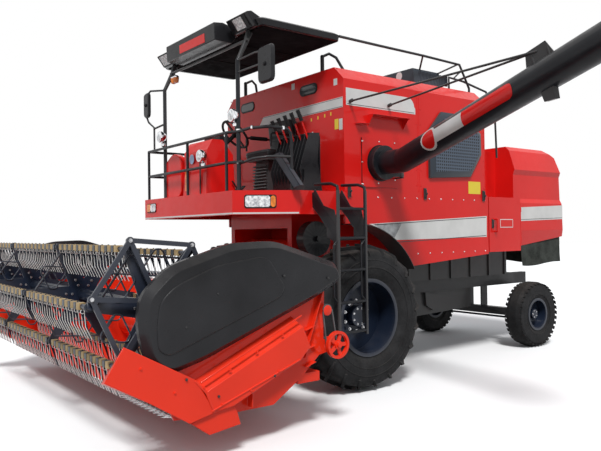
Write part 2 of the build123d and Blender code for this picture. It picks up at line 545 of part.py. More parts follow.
header -= block(-FEED_HALF, FEED_HALF, -1500, FEEDER_FRONT, 500, 1095)
nodes["header_body"] = header
adapter = block(-FEEDER_HALF - 60, FEEDER_HALF + 60, FEEDER_FRONT - ADAPTER_T, FEEDER_FRONT, 430, 1095)
adapter -= block(-FEED_HALF, FEED_HALF, FEEDER_FRONT - ADAPTER_T - 1, FEEDER_FRONT + 1, 520, 1060)
throat_walls = [block(side * (FEED_HALF - SHEET), side * FEED_HALF, -1470, FEEDER_FRONT, 500, 1095)
                for side in (1, -1)]
nodes["feeder_house"] = fuse([feeder, adapter] + throat_walls)

cover_line = [(-2689, 686), (-2900, 800), (-2934, 1029), (-2800, 1220), (-2350, 1450), (-1909, 1545), (-1450, 1400),
              (-1159, 1227), (-1216, 1106), (-2117, 835)]
end_cover = side_plate(cover_line, HEADER_HALF + END_PLATE, COVER_OUT)
drive_guard = side_plate([(-2615, 507), (-2560, 640), (-1621, 993), (-1443, 775), (-2440, 400)],
                         HEADER_HALF + END_PLATE, COVER_OUT)
divider = side_plate([(TIP_Y, 708), (-3006, 917), (-2700, 760), (-2450, 560), (-2330, 300), (-2388, 225), (-2911, 569)],
                     HEADER_HALF + END_PLATE, COVER_OUT)
drive_guard -= end_cover
divider -= end_cover
divider -= drive_guard
nodes["end_covers"] = end_cover + mirror_x(end_cover)
fairing = Part() + [drive_guard, divider]
nodes["crop_dividers"] = fairing + mirror_x(fairing)

finger_line = [(KNIFE_Y, KNIFE_Z + 12), (KNIFE_Y - 20, KNIFE_Z + 14), (KNIFE_Y - 95, KNIFE_Z - 8),
               (KNIFE_Y - 20, KNIFE_Z - 22)]
count = int(2 * (HEADER_HALF - 30) / FINGER_PITCH)
knife = block(-HEADER_HALF, HEADER_HALF, KNIFE_Y - 40, KNIFE_Y, KNIFE_Z - SHEET, KNIFE_Z)
finger = side_plate(finger_line, -10, 10)
fingers = [Pos((i - (count - 1) / 2) * FINGER_PITCH, 0, 0) * finger for i in range(count)]
nodes["knife_bar"] = Part() + [knife] + fingers

# ---------- header auger and cross drive ----------
AUGER_HALF = 2085
auger = cross_cylinder(AUGER_TUBE_R, -AUGER_HALF, AUGER_HALF, AUGER_Y, AUGER_Z)
auger += cross_cylinder(SHAFT_R, -HEADER_HALF - END_PLATE, HEADER_HALF + END_PLATE, AUGER_Y, AUGER_Z)
FLIGHT_T = 8
for step in range(8):
    x = 560 + step * 205
    for side in (1, -1):
        disc = cross_cylinder(AUGER_FLIGHT_R, -FLIGHT_T / 2, FLIGHT_T / 2, 0, 0)
        disc = Rot(0, 0, 18 * side) * disc
        auger += Pos(side * x, AUGER_Y, AUGER_Z) * disc
nodes["header_auger"] = auger

shaft = cross_cylinder(SHAFT_R, 600, COVER_OUT + 15, DRIVE_Y, DRIVE_Z)
pulley = ring_cylinder(DRIVE_PULLEY_R, DRIVE_PULLEY_R - 22, COVER_OUT - 35, COVER_OUT, DRIVE_Y, DRIVE_Z)
pulley += cross_cylinder(36, COVER_OUT - 35, COVER_OUT, DRIVE_Y, DRIVE_Z)
for angle in range(0, 360, 72):
    dy, dz = math.cos(math.radians(angle)), math.sin(math.radians(angle))
    pulley += bar((COVER_OUT - 18, DRIVE_Y + 30 * dy, DRIVE_Z + 30 * dz),
                  (COVER_OUT - 18, DRIVE_Y + 100 * dy, DRIVE_Z + 100 * dz), 14, 30)
nodes["header_drive"] = shaft + pulley

# ---------- header lift cylinders ----------
LIFT_BORE_R, LIFT_ROD_R = 40, 22
EYE_WALL = 10
LIFT_DRIFT, REEL_DRIFT = 7, 3   # the rod's eye is the open pivot of its linkage


def cylinder_pair(foot, eye, x_places, barrel_len, rod_len, barrel_r, rod_r, pin_r, eye_half, drift):
    """Barrels and rods of like cylinders; foot and eye are (Y, Z), drift widens the rod's eye."""
    barrels, rods = [], []
    length = math.dist(foot, eye)
    unit = ((eye[0] - foot[0]) / length, (eye[1] - foot[1]) / length)

    def along(distance, x):
        return (x, foot[0] + unit[0] * distance, foot[1] + unit[1] * distance)

    for x in x_places:
        barrel = rod(along(0, x), along(barrel_len, x), barrel_r)
        barrel += cross_cylinder(pin_r * 2, x - eye_half, x + eye_half, *foot)
        barrel -= rod(along(pin_r * 3, x), along(barrel_len + 1, x), rod_r + FREE)
        barrel -= cross_cylinder(pin_r + FREE, x - 200, x + 200, *foot)
        barrels.append(barrel)
        ram = rod(along(length - rod_len, x), along(length, x), rod_r)
        ram += cross_cylinder(pin_r + drift + EYE_WALL, x - eye_half, x + eye_half, *eye)
        ram -= cross_cylinder(pin_r + drift, x - 200, x + 200, *eye)
        rods.append(ram)
    return Part() + barrels, Part() + rods


lift_barrels, lift_rods = cylinder_pair((LIFT_PIN_Y, LIFT_PIN_Z), (EYE_Y, EYE_Z), (LIFT_CYL_X, -LIFT_CYL_X),
                                        440, 480, LIFT_BORE_R, LIFT_ROD_R, 16, 30, LIFT_DRIFT)
nodes["lift_barrels"] = lift_barrels
nodes["lift_rods"] = lift_rods

# ---------- reel ----------
ARM_IN, ARM_OUT = 2062, 2106
ECC_R = 95
STUB_R = 20
arm_parts = []
for side in (1, -1):
    x0, x1 = sorted((side * ARM_IN, side * ARM_OUT))
    arm = side_plate([(REEL_PIVOT_Y, REEL_PIVOT_Z - 50), (REEL_PIVOT_Y, REEL_PIVOT_Z + 50),
                      (REEL_Y, REEL_Z + 45), (REEL_Y, REEL_Z - 45)], x0, x1)
    arm += cross_cylinder(60, x0, x1, REEL_Y, REEL_Z)
    if side == 1:
        arm += cross_cylinder(ECC_R, 2028, ARM_IN, REEL_Y, REEL_Z + RING_RISE)
    arm -= cross_cylinder(STUB_R + FREE, x0 - 100, x1 + 100, REEL_Y, REEL_Z)
    arm_parts.append(arm)
arm_parts.append(cross_cylinder(PIVOT_R, -HEADER_HALF - END_PLATE, HEADER_HALF + END_PLATE, REEL_PIVOT_Y, REEL_PIVOT_Z))
ARM_EYE_Y, ARM_EYE_Z = -1900, 1115
REEL_FOOT_Y, REEL_FOOT_Z = -1530, 760
REEL_CYL_X = 2128
nodes["reel_arms"] = fuse(arm_parts)

SPIDER_PLACES = (1975, 420, -1140, -1975)
SPIDER_T = 10
reel = cross_cylinder(50, -REEL_HALF, REEL_HALF, REEL_Y, REEL_Z)
reel += cross_cylinder(STUB_R, -ARM_OUT - 10, ARM_OUT + 10, REEL_Y, REEL_Z)


def bat_place(index):
    """Direction from the reel's shaft to one tine bar, as (Y, Z)."""
    angle = math.radians(BAT_PHASE + index * 360 / BATS)
    return math.cos(angle), math.sin(angle)


spider = cross_cylinder(150, -SPIDER_T / 2, SPIDER_T / 2, 0, 0)
for index in range(BATS):
    dy, dz = bat_place(index)
    across = (-dz, dy)
    inner, outer = 95, REEL_R
    arm_line = [(dy * inner - across[0] * 75, dz * inner - across[1] * 75),
                (dy * inner + across[0] * 75, dz * inner + across[1] * 75),
                (dy * outer + across[0] * 32, dz * outer + across[1] * 32),
                (dy * outer - across[0] * 32, dz * outer - across[1] * 32)]
    spider += side_plate(arm_line, -SPIDER_T / 2, SPIDER_T / 2)
    spider += cross_cylinder(32, -SPIDER_T / 2, SPIDER_T / 2, dy * outer, dz * outer)
for index in range(BATS):
    dy, dz = bat_place(index)
    spider -= cross_cylinder(BAT_R + FREE, -20, 20, dy * REEL_R, dz * REEL_R)
for place in SPIDER_PLACES:
    reel += Pos(place, REEL_Y, REEL_Z) * spider
nodes["reel"] = reel

RING_X0, RING_X1 = 2032, 2050
CRANK_X0, CRANK_X1 = 2004, 2022
CRANK_PIN_R = 9
ring_z = REEL_Z + RING_RISE
ring = ring_cylinder(ECC_R + 35, ECC_R + FREE, RING_X0, RING_X1, REEL_Y, ring_z)
for index in range(BATS):
    dy, dz = bat_place(index)
    ey, ez = bat_place(index + 1)
    ring += bar((0.5 * (RING_X0 + RING_X1), REEL_Y + dy * (ECC_R + 20), ring_z + dz * (ECC_R + 20)),
                (0.5 * (RING_X0 + RING_X1), REEL_Y + dy * REEL_R, ring_z + dz * REEL_R), 18, 36)
    ring += bar((0.5 * (RING_X0 + RING_X1), REEL_Y + dy * REEL_R, ring_z + dz * REEL_R),
                (0.5 * (RING_X0 + RING_X1), REEL_Y + ey * REEL_R, ring_z + ez * REEL_R), 18, 36)
    ring += cross_cylinder(26, RING_X0, RING_X1, REEL_Y + dy * REEL_R, ring_z + dz * REEL_R)
for index in range(BATS):
    dy, dz = bat_place(index)
    ring -= cross_cylinder(CRANK_PIN_R + FREE, 2000, 2100, REEL_Y + dy * REEL_R, ring_z + dz * REEL_R)
nodes["control_ring"] = ring

TINE_T = 6
tine = side_plate([(-14, 0), (14, 0), (TINE_TRAIL + TINE_T / 2, -TINE_DROP), (TINE_TRAIL - TINE_T / 2, -TINE_DROP)],
                  -TINE_T / 2, TINE_T / 2)
tine_count = int(2 * (REEL_HALF - 60) / TINE_PITCH)
bat_tube = cross_cylinder(BAT_R, -REEL_HALF, CRANK_X1, 0, 0)
bat_tube += block(CRANK_X0, CRANK_X1, -18, 18, 0, RING_RISE)
bat_tube += cross_cylinder(18, CRANK_X0, CRANK_X1, 0, RING_RISE)
bat_tube += cross_cylinder(CRANK_PIN_R, CRANK_X0, RING_X1 + 2, 0, RING_RISE)
tines = [Pos((i - (tine_count - 1) / 2) * TINE_PITCH, 0, -BAT_R + 4) * tine for i in range(tine_count)]
tines = [t for t in tines if all(abs(t.center().X - place) > 15 for place in SPIDER_PLACES)]
bat = Part() + [bat_tube] + tines
for index in range(BATS):
    dy, dz = bat_place(index)
    nodes[f"tine_bar_{index + 1}"] = Pos(0, REEL_Y + dy * REEL_R, REEL_Z + dz * REEL_R) * bat

reel_barrels, reel_rods = cylinder_pair((REEL_FOOT_Y, REEL_FOOT_Z), (ARM_EYE_Y, ARM_EYE_Z),
                                        (REEL_CYL_X, -REEL_CYL_X), 330, 380, 17, 9, 8, 12, REEL_DRIFT)
nodes["reel_barrels"] = reel_barrels
nodes["reel_rods"] = reel_rods
for side in (1, -1):
    x0, x1 = sorted((side * (ARM_OUT - 6), side * (REEL_CYL_X + 14)))
    nodes["reel_arms"] += cross_cylinder(8, x0, x1, ARM_EYE_Y, ARM_EYE_Z)
    x0, x1 = sorted((side * (REEL_CYL_X - 14), side * (HEADER_HALF + 4)))
    nodes["header_body"] += cross_cylinder(8, x0, x1, REEL_FOOT_Y, REEL_FOOT_Z)

# ---------- unloader ----------
UNLOAD_RISE, UNLOAD_SWEEP = 0.225, -0.235       # Z and Y per X along the long tube
FLANGE_GAP = 5
elbow = (UNLOAD_ELBOW_X, UNLOAD_Y, UNLOAD_Z)
tip_x = UNLOAD_TIP_X - 130
tip = (tip_x, UNLOAD_Y + (tip_x - UNLOAD_ELBOW_X) * UNLOAD_SWEEP, UNLOAD_Z + (tip_x - UNLOAD_ELBOW_X) * UNLOAD_RISE)
face_x = COLLAR_X + FLANGE_GAP
tube = bent_tube([(face_x, UNLOAD_Y, UNLOAD_Z), elbow, tip], UNLOAD_R)
tube += rod((face_x, UNLOAD_Y, UNLOAD_Z), (face_x + 15, UNLOAD_Y, UNLOAD_Z), COLLAR_R)
for low, high in KNUCKLES_Z:
    tube += Pos(UNLOAD_PIN_X, UNLOAD_PIN_Y, UNLOAD_Z + (low + high) / 2) * Cylinder(PIN_R + 12, high - low)
    tube += block(face_x, face_x + 15, UNLOAD_Y + 120, UNLOAD_PIN_Y, UNLOAD_Z + low, UNLOAD_Z + high)
tube -= Pos(UNLOAD_PIN_X, UNLOAD_PIN_Y, UNLOAD_Z) * Cylinder(PIN_R + FREE, 400)
spout = block(-130, 130, -140, 140, -420, 0)
spout -= block(-118, 118, -128, 128, -421, -100)
tube += Pos(*tip) * spout
nodes["unloader"] = tube

# ---------- write each piece ----------
os.makedirs("parts", exist_ok=True)
for name, shape in nodes.items():
    export_step(Pos(*ORIGIN_SHIFT) * shape, f"parts/{name}.step")
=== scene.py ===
import bpy, bmesh, math
from mathutils import Matrix, Vector


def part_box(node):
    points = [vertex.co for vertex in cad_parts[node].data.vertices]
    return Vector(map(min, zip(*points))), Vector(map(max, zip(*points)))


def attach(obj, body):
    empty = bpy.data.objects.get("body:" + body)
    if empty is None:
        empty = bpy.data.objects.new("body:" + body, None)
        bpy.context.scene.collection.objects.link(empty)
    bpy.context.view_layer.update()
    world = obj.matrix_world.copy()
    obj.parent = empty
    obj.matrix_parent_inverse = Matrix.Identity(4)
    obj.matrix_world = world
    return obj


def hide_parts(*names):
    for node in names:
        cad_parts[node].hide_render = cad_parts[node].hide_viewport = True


# Visual stage of the combine harvester: finishes, stripes, glass, bolts, tread
# and trim on the rigid parts, and moulded forms that stand in for plainer
# solids, with floor, light and camera.  Metres.
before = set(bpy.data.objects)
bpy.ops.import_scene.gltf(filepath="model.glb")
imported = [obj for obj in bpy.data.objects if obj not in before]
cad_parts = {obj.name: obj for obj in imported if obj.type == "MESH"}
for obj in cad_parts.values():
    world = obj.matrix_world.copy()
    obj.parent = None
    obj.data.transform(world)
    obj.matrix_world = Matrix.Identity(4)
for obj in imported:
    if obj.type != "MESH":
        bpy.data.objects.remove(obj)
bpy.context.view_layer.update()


# ---------- finishes ----------
# Each finish has a colour that drifts over the piece, a roughness that breaks
# up, a fine surface bump, and dust or rubbed edges where the real one has them.
def finish(name, colour, rough, metal=0.0, coat=0.0, drift=0.08, drift_scale=1.5,
           grain=0.02, grain_scale=60.0, dust=0.0, rubbed=0.0):
    mat = bpy.data.materials.new(name)
    mat.use_nodes = True
    tree = mat.node_tree
    shader = tree.nodes["Principled BSDF"]
    link = tree.links.new

    def node(kind, **values):
        made = tree.nodes.new(kind)
        for key, value in values.items():
            setattr(made, key, value)
        return made

    place = node("ShaderNodeTexCoord").outputs["Object"]

    def noise(scale, detail=4.0):
        made = node("ShaderNodeTexNoise")
        made.inputs["Scale"].default_value = scale
        made.inputs["Detail"].default_value = detail
        link(place, made.inputs["Vector"])
        return made.outputs["Fac"]

    def spread(value, low, high, from_low=0.35, from_high=0.65):
        made = node("ShaderNodeMapRange")
        for key, number in (("From Min", from_low), ("From Max", from_high), ("To Min", low),
                            ("To Max", high)):
            made.inputs[key].default_value = number
        link(value, made.inputs["Value"])
        return made.outputs["Result"]

    def mix(factor, a, b):
        made = node("ShaderNodeMix", data_type="RGBA")
        link(factor, made.inputs["Factor"])
        for key, value in (("A", a), ("B", b)):
            socket = [s for s in made.inputs if s.name == key and s.type == "RGBA"][0]
            if isinstance(value, tuple):
                socket.default_value = (*value, 1)
            else:
                link(value, socket)
        return [s for s in made.outputs if s.type == "RGBA"][0]

    dark = tuple(c * (1 - drift) for c in colour)
    light = tuple(min(1, c * (1 + drift) + drift * 0.02) for c in colour)
    shade = mix(spread(noise(drift_scale), 0, 1), dark, light)
    if rubbed:
        edge = node("ShaderNodeNewGeometry").outputs["Pointiness"]
        shade = mix(spread(edge, 0, rubbed, 0.53, 0.62), shade, (0.30, 0.29, 0.28))
    if dust:
        up = node("ShaderNodeSeparateXYZ")
        link(node("ShaderNodeNewGeometry").outputs["Normal"], up.inputs["Vector"])
        lying = spread(up.outputs["Z"], 0, dust, 0.2, 1.0)
        speck = node("ShaderNodeMath", operation="MULTIPLY")
        link(lying, speck.inputs[0])
        link(spread(noise(drift_scale * 6), 0.3, 1), speck.inputs[1])
        shade = mix(speck.outputs["Value"], shade, (0.36, 0.31, 0.25))
    link(shade, shader.inputs["Base Color"])
    shader.inputs["Specular IOR Level"].default_value = 0.5 if metal else 0.16
    link(spread(noise(drift_scale * 9), rough * 0.85, min(1, rough * 1.2)), shader.inputs["Roughness"])
    bump = node("ShaderNodeBump")
    bump.inputs["Strength"].default_value = grain
    bump.inputs["Distance"].default_value = 0.01
    link(noise(grain_scale, 2.0), bump.inputs["Height"])
    link(bump.outputs["Normal"], shader.inputs["Normal"])
    shader.inputs["Metallic"].default_value = metal
    shader.inputs["Coat Weight"].default_value = coat
    shader.inputs["Coat Roughness"].default_value = 0.08
    return mat


GLOSS = {"coat": 0.25, "drift": 0.05, "grain": 0.03, "grain_scale": 9, "dust": 0.04}
WORN = {"drift": 0.2, "grain": 0.03, "grain_scale": 12, "dust": 0.03, "rubbed": 0.15}
RED = finish("red enamel", (0.66, 0.010, 0.008), 0.34, **GLOSS)
ORANGE = finish("orange-red enamel", (0.78, 0.030, 0.008), 0.34, **GLOSS)
BLACK = finish("black enamel", (0.008, 0.009, 0.012), 0.38, coat=0.12, **WORN)
NAVY = finish("blue-black enamel", (0.008, 0.014, 0.030), 0.34, coat=0.15, **WORN)
RUBBER = finish("tyre rubber", (0.014, 0.014, 0.015), 0.72, drift=0.25, drift_scale=5, grain=0.10,
                grain_scale=150, dust=0.08)
STEEL = finish("bright steel", (0.55, 0.55, 0.56), 0.28, metal=1.0, drift=0.12, drift_scale=8, grain=0.04,
               grain_scale=90)
IRON = finish("engine iron", (0.10, 0.10, 0.105), 0.55, metal=0.3, drift=0.2, drift_scale=6, grain=0.1,
              dust=0.2)
GREY = finish("dark grey paint", (0.030, 0.038, 0.050), 0.35, coat=0.15, drift=0.15, grain=0.03, dust=0.1)
PLASTIC = finish("black plastic", (0.014, 0.014, 0.015), 0.48, drift=0.15, grain=0.08, grain_scale=240)
VINYL = finish("seat vinyl", (0.016, 0.016, 0.018), 0.42, drift=0.2, grain=0.12, grain_scale=320)
CLOTH = finish("tarpaulin", (0.016, 0.022, 0.020), 0.62, drift=0.25, drift_scale=3, grain=0.15,
               grain_scale=260, dust=0.08)

finish_of = {
    RED: """thresher_hull side_shields grain_tank engine_bay deck steering_console rear_hood tool_box
            tool_box_door fuel_tank""",
    ORANGE: "feeder_house header_body crop_dividers header_auger header_drive",
    NAVY: "reel_arms reel control_ring front_rim_left front_rim_right rear_rim_left rear_rim_right "
          + " ".join(f"tine_bar_{k}" for k in range(1, 7)),
    RUBBER: "front_tyre_left front_tyre_right rear_tyre_left rear_tyre_right",
    STEEL: "lift_rods reel_rods knife_bar",
    IRON: "engine", GREY: "engine_cover", VINYL: "seat", CLOTH: "rear_curtain",
    PLASTIC: "steering_wheel",
}
paint_of = {name: mat for mat, names in finish_of.items() for name in names.split()}
for name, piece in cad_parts.items():
    piece.data.materials.clear()
    piece.data.materials.append(paint_of.get(name, BLACK))


# ---------- drive tyres ----------
# Cured rubber tyres with chevron lugs leaning from the crown to both
# shoulders; moulded rings stand on the side walls.
MM = 0.001
tyre_low, tyre_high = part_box("front_tyre_left"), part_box("front_tyre_right")
axle = Vector(((tyre_low[0][0] + tyre_high[1][0]) / 2, (tyre_low[0][1] + tyre_low[1][1]) / 2, 0))
shift = Vector((axle.x, axle.y, 0))          # the front axle's middle, on the ground


def at(x, y, z):
    """Place given in millimetres from the front axle: left, rearward, up."""
    return shift + Vector((x, y, z)) * MM


def mesh_piece(name, body, mat, bm):
    """Turns built geometry into a piece that rides on a body."""
    mesh = bpy.data.meshes.new(name)
    bmesh.ops.remove_doubles(bm, verts=bm.verts, dist=1e-6)
    bmesh.ops.recalc_face_normals(bm, faces=bm.faces)
    bm.to_mesh(mesh)
    bm.free()
    mesh.materials.append(mat)
    made = bpy.data.objects.new(name, mesh)
    bpy.context.collection.objects.link(made)
    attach(made, body)
    return made


def smooth(piece, degrees=35):
    """Soft shading on round stretches, crisp at edges."""
    for face in piece.data.polygons:
        face.use_smooth = True
    piece.data.set_sharp_from_angle(angle=math.radians(degrees))


def add_loft(bm, low, high):
    """Closed solid between two outlines with the same number of points."""
    first, second = [bm.verts.new(p) for p in low], [bm.verts.new(p) for p in high]
    bm.faces.new(first)
    bm.faces.new(list(reversed(second)))
    for a in range(len(first)):
        b = (a + 1) % len(first)
        bm.faces.new((first[b], first[a], second[a], second[b]))


def add_hoop(bm, centre, profile, sides):
    """Closed profile of (across, radius) metres, turned about the axle."""
    turned = []
    for k in range(sides):
        a = 2 * math.pi * k / sides
        turned.append([bm.verts.new(centre + Vector((x, r * math.cos(a), r * math.sin(a))))
                       for x, r in profile])
    for a, b in zip(turned, turned[1:] + turned[:1]):
        for m in range(len(profile)):
            n = (m + 1) % len(profile)
            bm.faces.new((a[m], a[n], b[n], b[m]))


TYRE_R, LUG_TALL, LUGS = 772, 38, 20
crown = TYRE_R - LUG_TALL
wall_line = [(186, 376), (187, 412), (206, 440), (222, 480), (231, 520), (236, 522), (236, 530),
             (233, 533), (233.5, 560), (232, 598), (235, 601), (234, 609), (229, 611), (224, 650),
             (212, 692), (190, 712), (140, 724), (70, 731)]
tyre_line = wall_line + [(0, crown)] + [(-x, r) for x, r in reversed(wall_line)]
lug_line = [(-14, 772, 15), (105, 765, 15), (200, 733, 14), (224, 700, 13), (231, 655, 12),
            (222, 640, 16), (150, 690, 22), (105, 705, 24), (-14, 708, 24)]
lean = math.radians(40)
stretch = 1 / math.cos(lean)
for hand, away in (("left", 1), ("right", -1)):
    centre = at(away * 1262, 0, TYRE_R)
    bm = bmesh.new()
    add_hoop(bm, centre, [(x * MM, r * MM) for x, r in tyre_line], 96)
    for side in (1, -1):
        for k in range(LUGS):
            around = 2 * math.pi * (k + (0.5 if side < 0 else 0)) / LUGS
            rows = []
            for edge in (-1, 1):
                row = []
                for x, z, wide in lug_line:
                    along, across = x * stretch, edge * wide
                    px = along * math.cos(lean) - across * math.sin(lean)
                    py = along * math.sin(lean) + across * math.cos(lean)
                    angle = around + py / z
                    row.append(centre + Vector((side * px * MM, z * MM * math.sin(angle),
                                                z * MM * math.cos(angle))))
                rows.append(row)
            add_loft(bm, rows[0], rows[1])
    tyre = mesh_piece(f"drive_tyre_{hand}", f"front_wheel_{hand}", RUBBER, bm)
    smooth(tyre, 35)
    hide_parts(f"front_tyre_{hand}")


# ---------- steering tyres ----------
# Rubber like the drive tyres: three rows of tread blocks, and two rings on
# each side wall, all moulded with the tyre.


def add_prism(bm, points, normal, depth):
    """Prism from a closed outline, spread by depth along the normal."""
    low = [bm.verts.new(p) for p in points]
    high = [bm.verts.new(Vector(p) + Vector(normal) * depth) for p in points]
    bm.faces.new(low)
    bm.faces.new(list(reversed(high)))
    for a in range(len(points)):
        b = (a + 1) % len(points)
        bm.faces.new((low[b], low[a], high[a], high[b]))


TREAD_BLOCKS, BLOCK_TALL = 36, 0.011
TREAD_ROWS = ((-0.42, 0.30, 0.010, 0.35), (0.0, 0.26, 0.0, 0.0), (0.42, 0.30, 0.010, -0.35))
for hand in ("left", "right"):
    low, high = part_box(f"rear_tyre_{hand}")
    middle = (Vector(low) + Vector(high)) / 2
    radius, half = (high[2] - low[2]) / 2, (high[0] - low[0]) / 2
    bm = bmesh.new()
    for k in range(TREAD_BLOCKS):
        for row, (x, wide, drop, lean) in enumerate(TREAD_ROWS):
            a = 2 * math.pi * (k + 0.5 * (row % 2)) / TREAD_BLOCKS
            points = []
            for dx, da in ((-wide, -0.5), (wide, -0.5), (wide, 0.5), (-wide, 0.5)):
                angle = a + (da * 0.62 + lean * dx * 1.6) * 2 * math.pi / TREAD_BLOCKS
                reach = x + dx * 0.5
                base = radius - drop - 0.03 * reach * reach - BLOCK_TALL
                points.append(middle + Vector((reach * half * 1.9, base * math.cos(angle),
                                               base * math.sin(angle))))
            add_prism(bm, points, Vector((0, math.cos(a), math.sin(a))), BLOCK_TALL)
    mesh_piece(f"rear_tread_{hand}", f"rear_wheel_{hand}", RUBBER, bm)
    for way, tag in ((1, "a"), (-1, "b")):
        bm = bmesh.new()
        face = way * half * 0.985
        for share, wide, proud in ((0.62, 0.005, 0.004), (0.76, 0.004, 0.003)):
            r, root, shoulder = radius * share, face - way * 0.03, face + way * proud * 0.4
            add_hoop(bm, middle, [(root, r - wide), (shoulder, r - wide), (face + way * proud, r),
                                  (shoulder, r + wide), (root, r + wide)], 72)
        smooth(mesh_piece(f"rear_tyre_rings_{hand}_{tag}", f"rear_wheel_{hand}", RUBBER, bm), 50)


# ---------- wheel fastenings ----------
# Zinc-plated wheel bolts on the discs, and a ring of smaller bolts on each
# hub cap.


def box_of(name):
    """Low and high corner of a node in millimetres from the front axle."""
    low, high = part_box(name)
    return (Vector(low) - shift) / MM, (Vector(high) - shift) / MM


def frame_of(direction):
    """Two directions square to the given one."""
    direction = Vector(direction).normalized()
    side = direction.cross(Vector((0, 0, 1)))
    if side.length < 0.1:
        side = direction.cross(Vector((1, 0, 0)))
    side.normalize()
    return direction, side, direction.cross(side)


def add_turned(bm, centre, direction, profile, sides):
    """Turned part: profile of (along, radius) about an axis through centre."""
    direction, side, other = frame_of(direction)
    rings = []
    for along, radius in profile:
        rings.append([bm.verts.new(Vector(centre) + direction * along + radius * (
            side * math.cos(2 * math.pi * k / sides) + other * math.sin(2 * math.pi * k / sides)))
            for k in range(sides)])
    for a, b in zip(rings, rings[1:]):
        for k in range(sides):
            m = (k + 1) % sides
            bm.faces.new((a[k], a[m], b[m], b[k]))
    bm.faces.new(list(reversed(rings[0])))
    bm.faces.new(rings[-1])


def add_bolt(bm, centre, direction, across):
    """Hexagon head on its washer."""
    r = across / 2
    add_turned(bm, centre, direction, [(-0.001, r * 1.35), (r * 0.2, r * 1.35)], 12)
    add_turned(bm, centre, direction, [(0, r), (r * 0.95, r), (r * 1.15, r * 0.85)], 6)


def wheel_bolts(name, node, body, outward, circles):
    low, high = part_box(node)
    middle = (Vector(low) + Vector(high)) / 2
    bm = bmesh.new()
    for count, share, inset, across in circles:
        radius = (high[2] - low[2]) / 2 * share
        x = high[0] - inset if outward > 0 else low[0] + inset
        for k in range(count):
            a = 2 * math.pi * (k + 0.5) / count
            spot = Vector((x, middle.y + radius * math.cos(a), middle.z + radius * math.sin(a)))
            add_bolt(bm, spot, (outward, 0, 0), across)
    smooth(mesh_piece(name, body, STEEL, bm))


for hand, outward in (("left", 1), ("right", -1)):
    for end, circles in (("front", ((10, 0.40, 1242, 0.027), (8, 0.215, 1300, 0.018))),
                         ("rear", ((6, 0.38, 917, 0.022), (5, 0.20, 1010, 0.013)))):
        rim_low, rim_high = box_of(f"{end}_rim_{hand}")
        edge = rim_high.x if outward > 0 else -rim_low.x
        wheel_bolts(f"{end}_wheel_bolts_{hand}", f"{end}_rim_{hand}", f"{end}_wheel_{hand}", outward,
                    [(count, share, (edge - x) * MM, across) for count, share, x, across in circles])


# ---------- side shields ----------
# Pressed sheet panels with a pale printed band, edged by two thin lines, and
# screws along the folded rims.
def side_patch(name, body, mat, outline, x, thick=0.0012):
    """Thin printed film on a side wall; outline of (rearward, up) millimetres."""
    bm = bmesh.new()
    add_prism(bm, [at(x, y, z) for y, z in outline], (1 if x > 0 else -1, 0, 0), thick)
    return mesh_piece(name, body, mat, bm)


def front_patch(name, body, mat, outline, y, thick=0.0012):
    """Thin printed film on a front wall; outline of (left, up) millimetres."""
    bm = bmesh.new()
    add_prism(bm, [at(x, y, z) for x, z in outline], (0, -1, 0), thick)
    return mesh_piece(name, body, mat, bm)


def arc(centre, radius, start, end, steps=10):
    """Points on an arc, in degrees."""
    return [(centre[0] + radius * math.cos(math.radians(start + (end - start) * k / steps)),
             centre[1] + radius * math.sin(math.radians(start + (end - start) * k / steps)))
             for k in range(steps + 1)]


FILM = finish("pale printed film", (0.62, 0.62, 0.61), 0.35, coat=0.3, drift=0.06, drift_scale=4, grain=0.01)
FILM_GREY = finish("grey printed film", (0.30, 0.31, 0.32), 0.40, coat=0.2, drift=0.35, drift_scale=14,
                   grain=0.01)
FILM_LINE = finish("dark printed line", (0.06, 0.06, 0.065), 0.40, coat=0.2, drift=0.1, grain=0.01)
YELLOW = finish("yellow film", (0.78, 0.60, 0.05), 0.40, coat=0.2, drift=0.06, grain=0.01)
shield_high = box_of("side_shields")[1]
wheel_z = 772
for away in (1, -1):
    x = away * shield_high.x
    hand = "left" if away > 0 else "right"
    band = arc((0, wheel_z), 1012, 76, 52) + [(2310, 1583), (2317, 1851)]
    side_patch(f"shield_band_{hand}", "machine", FILM, band, x)
    inner = arc((0, wheel_z), 1030, 73, 55)
    side_patch(f"shield_band_core_{hand}", "machine", FILM_GREY, inner[:1] + [(760, 1763), (640, 1600)]
               + inner[-1:], x + away * 0.8)
    for k, (y0, z0, z1, rise) in enumerate(((330, 1838, 1830, 0.046), (660, 1604, 1596, 0.034))):
        line = [(y0, z0 - (2300 - y0) * rise), (2300, z0), (2300, z1), (y0, z1 - (2300 - y0) * rise)]
        side_patch(f"shield_line_{k + 1}_{hand}", "machine", FILM_LINE, line, x + away * 0.8)
    bm = bmesh.new()
    for y in range(180, 2320, 210):
        for z in (2050, 1405) if y > 900 else (2050,):
            add_bolt(bm, at(away * 1200, y, z), (away, 0, 0), 0.013)
    smooth(mesh_piece(f"shield_screws_{hand}", "machine", STEEL, bm))


# ---------- grain tank and engine bay trim ----------
# Sheet steel walls, bolted; a pale band across the front and round the left
# corner, blank yellow films, and smoked panes in the two look-in windows.


def oblong(first, low, last, high):
    """Corners of a rectangle, going round."""
    return [(first, low), (last, low), (last, high), (first, high)]


def add_box(bm, low, high):
    """Box between two corners."""
    (x0, y0, z0), (x1, y1, z1) = low, high
    add_prism(bm, [(x0, y0, z0), (x1, y0, z0), (x1, y1, z0), (x0, y1, z0)], (0, 0, 1), z1 - z0)


